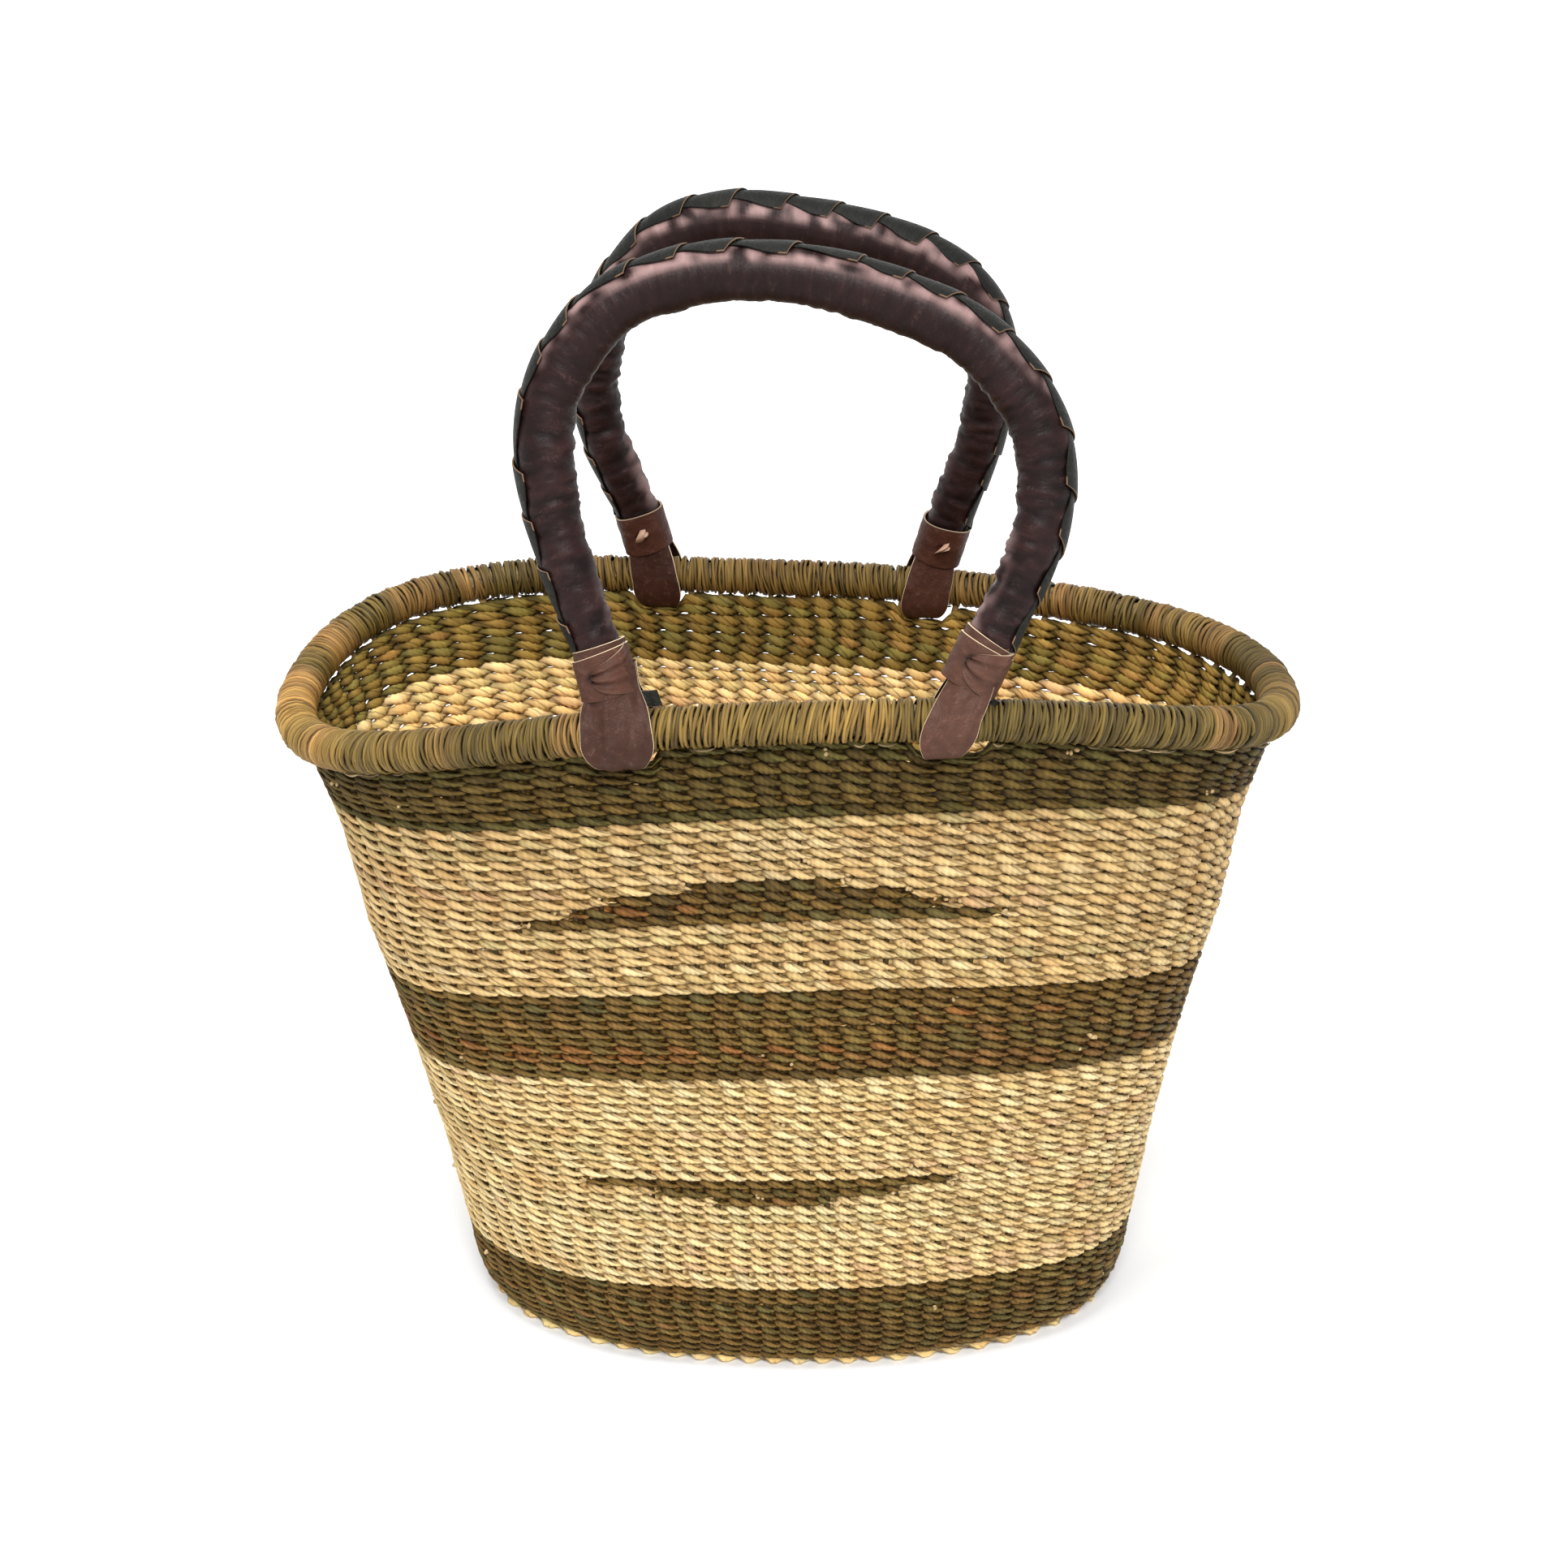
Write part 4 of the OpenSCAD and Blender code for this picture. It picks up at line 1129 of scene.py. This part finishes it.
def make_fold(handle, foot, upper, lower):
    """The strap's end, which comes out of the slit and fans out to the right between two curves, with painted
    shade where it leaves the slit and in the valleys between its folds.
    """
    leg = handle.legs[foot]
    rows, columns = 26, 30
    s = np.linspace(0, 1, rows)
    high, low = bezier(upper, s), bezier(lower, s)
    t = (close_to_edges(columns, 6, 0.25) + 1) / 2
    spot = low[:, None, :] + (high - low)[:, None, :] * t[None, :, None]
    arc, z = spot[..., 0], spot[..., 1]
    rays = np.sin(t * TURN * 2.6 + 0.8) + 0.6 * np.sin(t * TURN * 5.1 + 2)
    lift = (0.9 + 1.3 * np.sin(math.pi * t) ** 0.7 * np.sin(math.pi * np.clip(s + 0.12, 0, 1))[:, None]
            + 0.75 * rays * (1 - 0.7 * s)[:, None])
    lift = lift * smooth_step(s / 0.1 + 0.25)[:, None] - 1.0 * smooth_step((s - 0.8) / 0.2)[:, None]
    outer = CUFF_RADIUS + lift
    rings = strap_rings(on_cuff(leg, arc, z, outer), on_cuff(leg, arc, z, outer - 1.3))
    # painted shade where the end leaves the slit and in the valleys between its folds
    valleys = np.clip(-rays, 0, 1) * (1 - s)[:, None]
    shade = (0.25 + 0.75 * smooth_step(s / 0.25))[:, None] * (1 - 0.5 * valleys)
    tint = front_strap_colour(handle, foot) * 1.04 * both_faces(shade)[..., None]
    mesher = Mesher()
    mesher.tube(handle.in_basket(rings), tint, cut_marks(columns, 0.5, 0.5), cuff_grain(arc, z))
    handle.place(mesher, f"{foot}_strap_fold", "cut_leather", f"{foot}_strap_tail")


def make_back_cuff(handle, foot):
    """A plain turn of strap with the knotted end of the strap on its front."""
    leg = handle.legs[foot]
    mesher = Mesher()
    cuff_layer(handle, leg, mesher, lambda a: CUFF_START - 0.5 + 0 * a,
               lambda a: CUFF_TOP + 0.6 * np.sin(a / CUFF_RADIUS * 2 + 1), 0.0,
               LOOP_BROWN["back"] * 1.6, (0, KNOT_HEIGHT), 15, 0.48)
    handle.place(mesher, f"{foot}_cuff_wrap", "loop_leather", f"{foot}_cuff")
    mesher = Mesher()
    t = np.linspace(0, 1, 9)
    for shift, angle, size in ((0.0, 0.5, 1.0), (1.6, -0.6, 0.8)):
        arc = shift + 4.2 * size * (t - 0.5) * math.cos(angle)
        z = KNOT_HEIGHT + 6.5 * size * (t - 0.5) * math.sin(angle + 1.2)
        centre = on_cuff(leg, arc, z, CUFF_RADIUS - 0.6 + 2.2 * np.sin(math.pi * t))
        fat = 2.3 * size * (0.6 + 0.4 * np.sin(math.pi * t))[:, None]
        rings = rings_about(centre, np.array([[1.0, 0, 0.3]]), np.array([[0, -1.0, 0.4]]),
                            fat, fat * 0.7, circle(10))
        mesher.tube(handle.in_basket(rings), KNOT_COLOUR)
    handle.place(mesher, f"{foot}_strap_knot", "cut_leather", f"{foot}_strap_tail")


def flat_tail(handle, leg, mesher, first, last, y, half_height, tilt, light):
    """A short flat end of lace beside a cuff."""
    t = np.linspace(0, 1, 8)
    x, z = (a + (b - a) * t for a, b in zip(first, last))
    columns = 8
    across = close_to_edges(columns, half_height, 0.3) * half_height
    spot_z = z[:, None] + across + 0.12 * np.sin(x)[:, None]
    spot_x = x[:, None] + tilt * across
    depth = y + 0.35 * np.sin(x * 0.9)[:, None]
    outer, inner = (leg.to_handle(stacked(spot_x, depth + side, spot_z)) for side in (-0.6, 0.6))
    mesher.tube(handle.in_basket(strap_rings(outer, inner)), LACE_BLACK * light, cut_marks(columns, 0.9, 0.9))


# Each lace end: where it starts and ends across the leg and along it, how far back it lies, half its
# height, its tilt, and how light it is
LACE_TAILS = {
    "front": {"left": ((8, 12.5), (20.5, 10.5), -3.0, 3.6, -0.1, 1.5),
              "right": ((6, 15.5), (14.5, 14.2), -2.5, 1.6, 0.1, 1.0)},
    "back": {"left": ((-4, 38.5), (-12.5, 39.5), -1.0, 2.4, 0.1, 1.0),
             "right": ((4, 38.5), (12.5, 39.5), -1.0, 2.4, -0.1, 1.0)},
}


def make_lace_ends(handle):
    mesher = Mesher()
    for foot, shape in LACE_TAILS[handle.where].items():
        flat_tail(handle, handle.legs[foot], mesher, *shape)
    handle.place(mesher, "lace_tails", "lace_leather", "lace_ends")


# Each loop's width, the depth of its folds and how far it follows the lean of its leg
LOOPS = {("front", "left"): (31, 1.9, 0.4), ("front", "right"): (24, 1.5, 1.0),
         ("back", "left"): (24, 0.6, 0.8), ("back", "right"): (24, 0.6, 0.8)}


def make_handles():
    front, back = handles = Handle("front"), Handle("back")
    for handle in handles:
        make_sleeve(handle)
        make_lacing(handle)
        make_lace_ends(handle)
    for (where, foot), shape in LOOPS.items():
        make_loop(front if where == "front" else back, foot, *shape)
    make_front_cuff(front, "left", (-5, 26), (0.8, 1.6))
    make_fold(front, "left", [(-4.2, 28.5), (3, 31), (16, 37)], [(-4.6, 24.4), (-3, 16.2), (16, 15.8)])
    make_front_cuff(front, "right", (-5.5, 27.5), (-2.0, -1.2))
    make_fold(front, "right", [(-4.6, 29.4), (-1, 33), (16, 37)], [(-6.4, 26), (-5.5, 15), (14, 15.2)])
    for foot in ("left", "right"):
        make_back_cuff(back, foot)


make_handles()

# ---- floor and light ----

def make_stage():
    """A pale paper sweep, in metres: the floor, which curves up into a backdrop far behind."""
    bend = np.radians(np.linspace(0, 90, 13))
    profile = [(-15, 0), *((2.5 + 1.5 * math.sin(a), 1.5 - 1.5 * math.cos(a)) for a in bend), (4, 8)]
    points = [(x, y, z) for y, z in profile for x in (-15, 15)]
    faces = [(2 * i, 2 * i + 1, 2 * i + 3, 2 * i + 2) for i in range(len(profile) - 1)]
    mesh = bpy.data.meshes.new("floor")
    mesh.from_pydata(points, [], faces)
    mesh.shade_smooth()
    floor = bpy.data.objects.new("floor", mesh)
    bpy.context.collection.objects.link(floor)
    material, tree, shader = new_material("floor_paper")
    surface(tree, shader, (0.78, 0.78, 0.78), 0.9, 0.1)
    mesh.materials.append(material)


def add_sun(name, azimuth, elevation, softness, strength):
    """Even soft light from a direction, as from a big diffuser."""
    data = bpy.data.lights.new(name, "SUN")
    data.energy = strength
    data.angle = math.radians(softness)
    lamp = bpy.data.objects.new(name, data)
    lamp.rotation_euler = direction(azimuth, elevation).to_track_quat("Z", "Y").to_euler()
    bpy.context.collection.objects.link(lamp)


def make_light():
    world = bpy.data.worlds.new("studio")
    world.use_nodes = True
    background = world.node_tree.nodes["Background"]
    background.inputs["Color"].default_value = (1, 1, 1, 1)
    background.inputs["Strength"].default_value = 0.7
    bpy.context.scene.world = world
    add_sun("front_diffuser", 5, 42, 26, 2.9)
    add_sun("top_diffuser", -20, 78, 16, 1.2)
    bpy.context.scene.view_settings.view_transform = "Standard"


make_stage()
make_light()
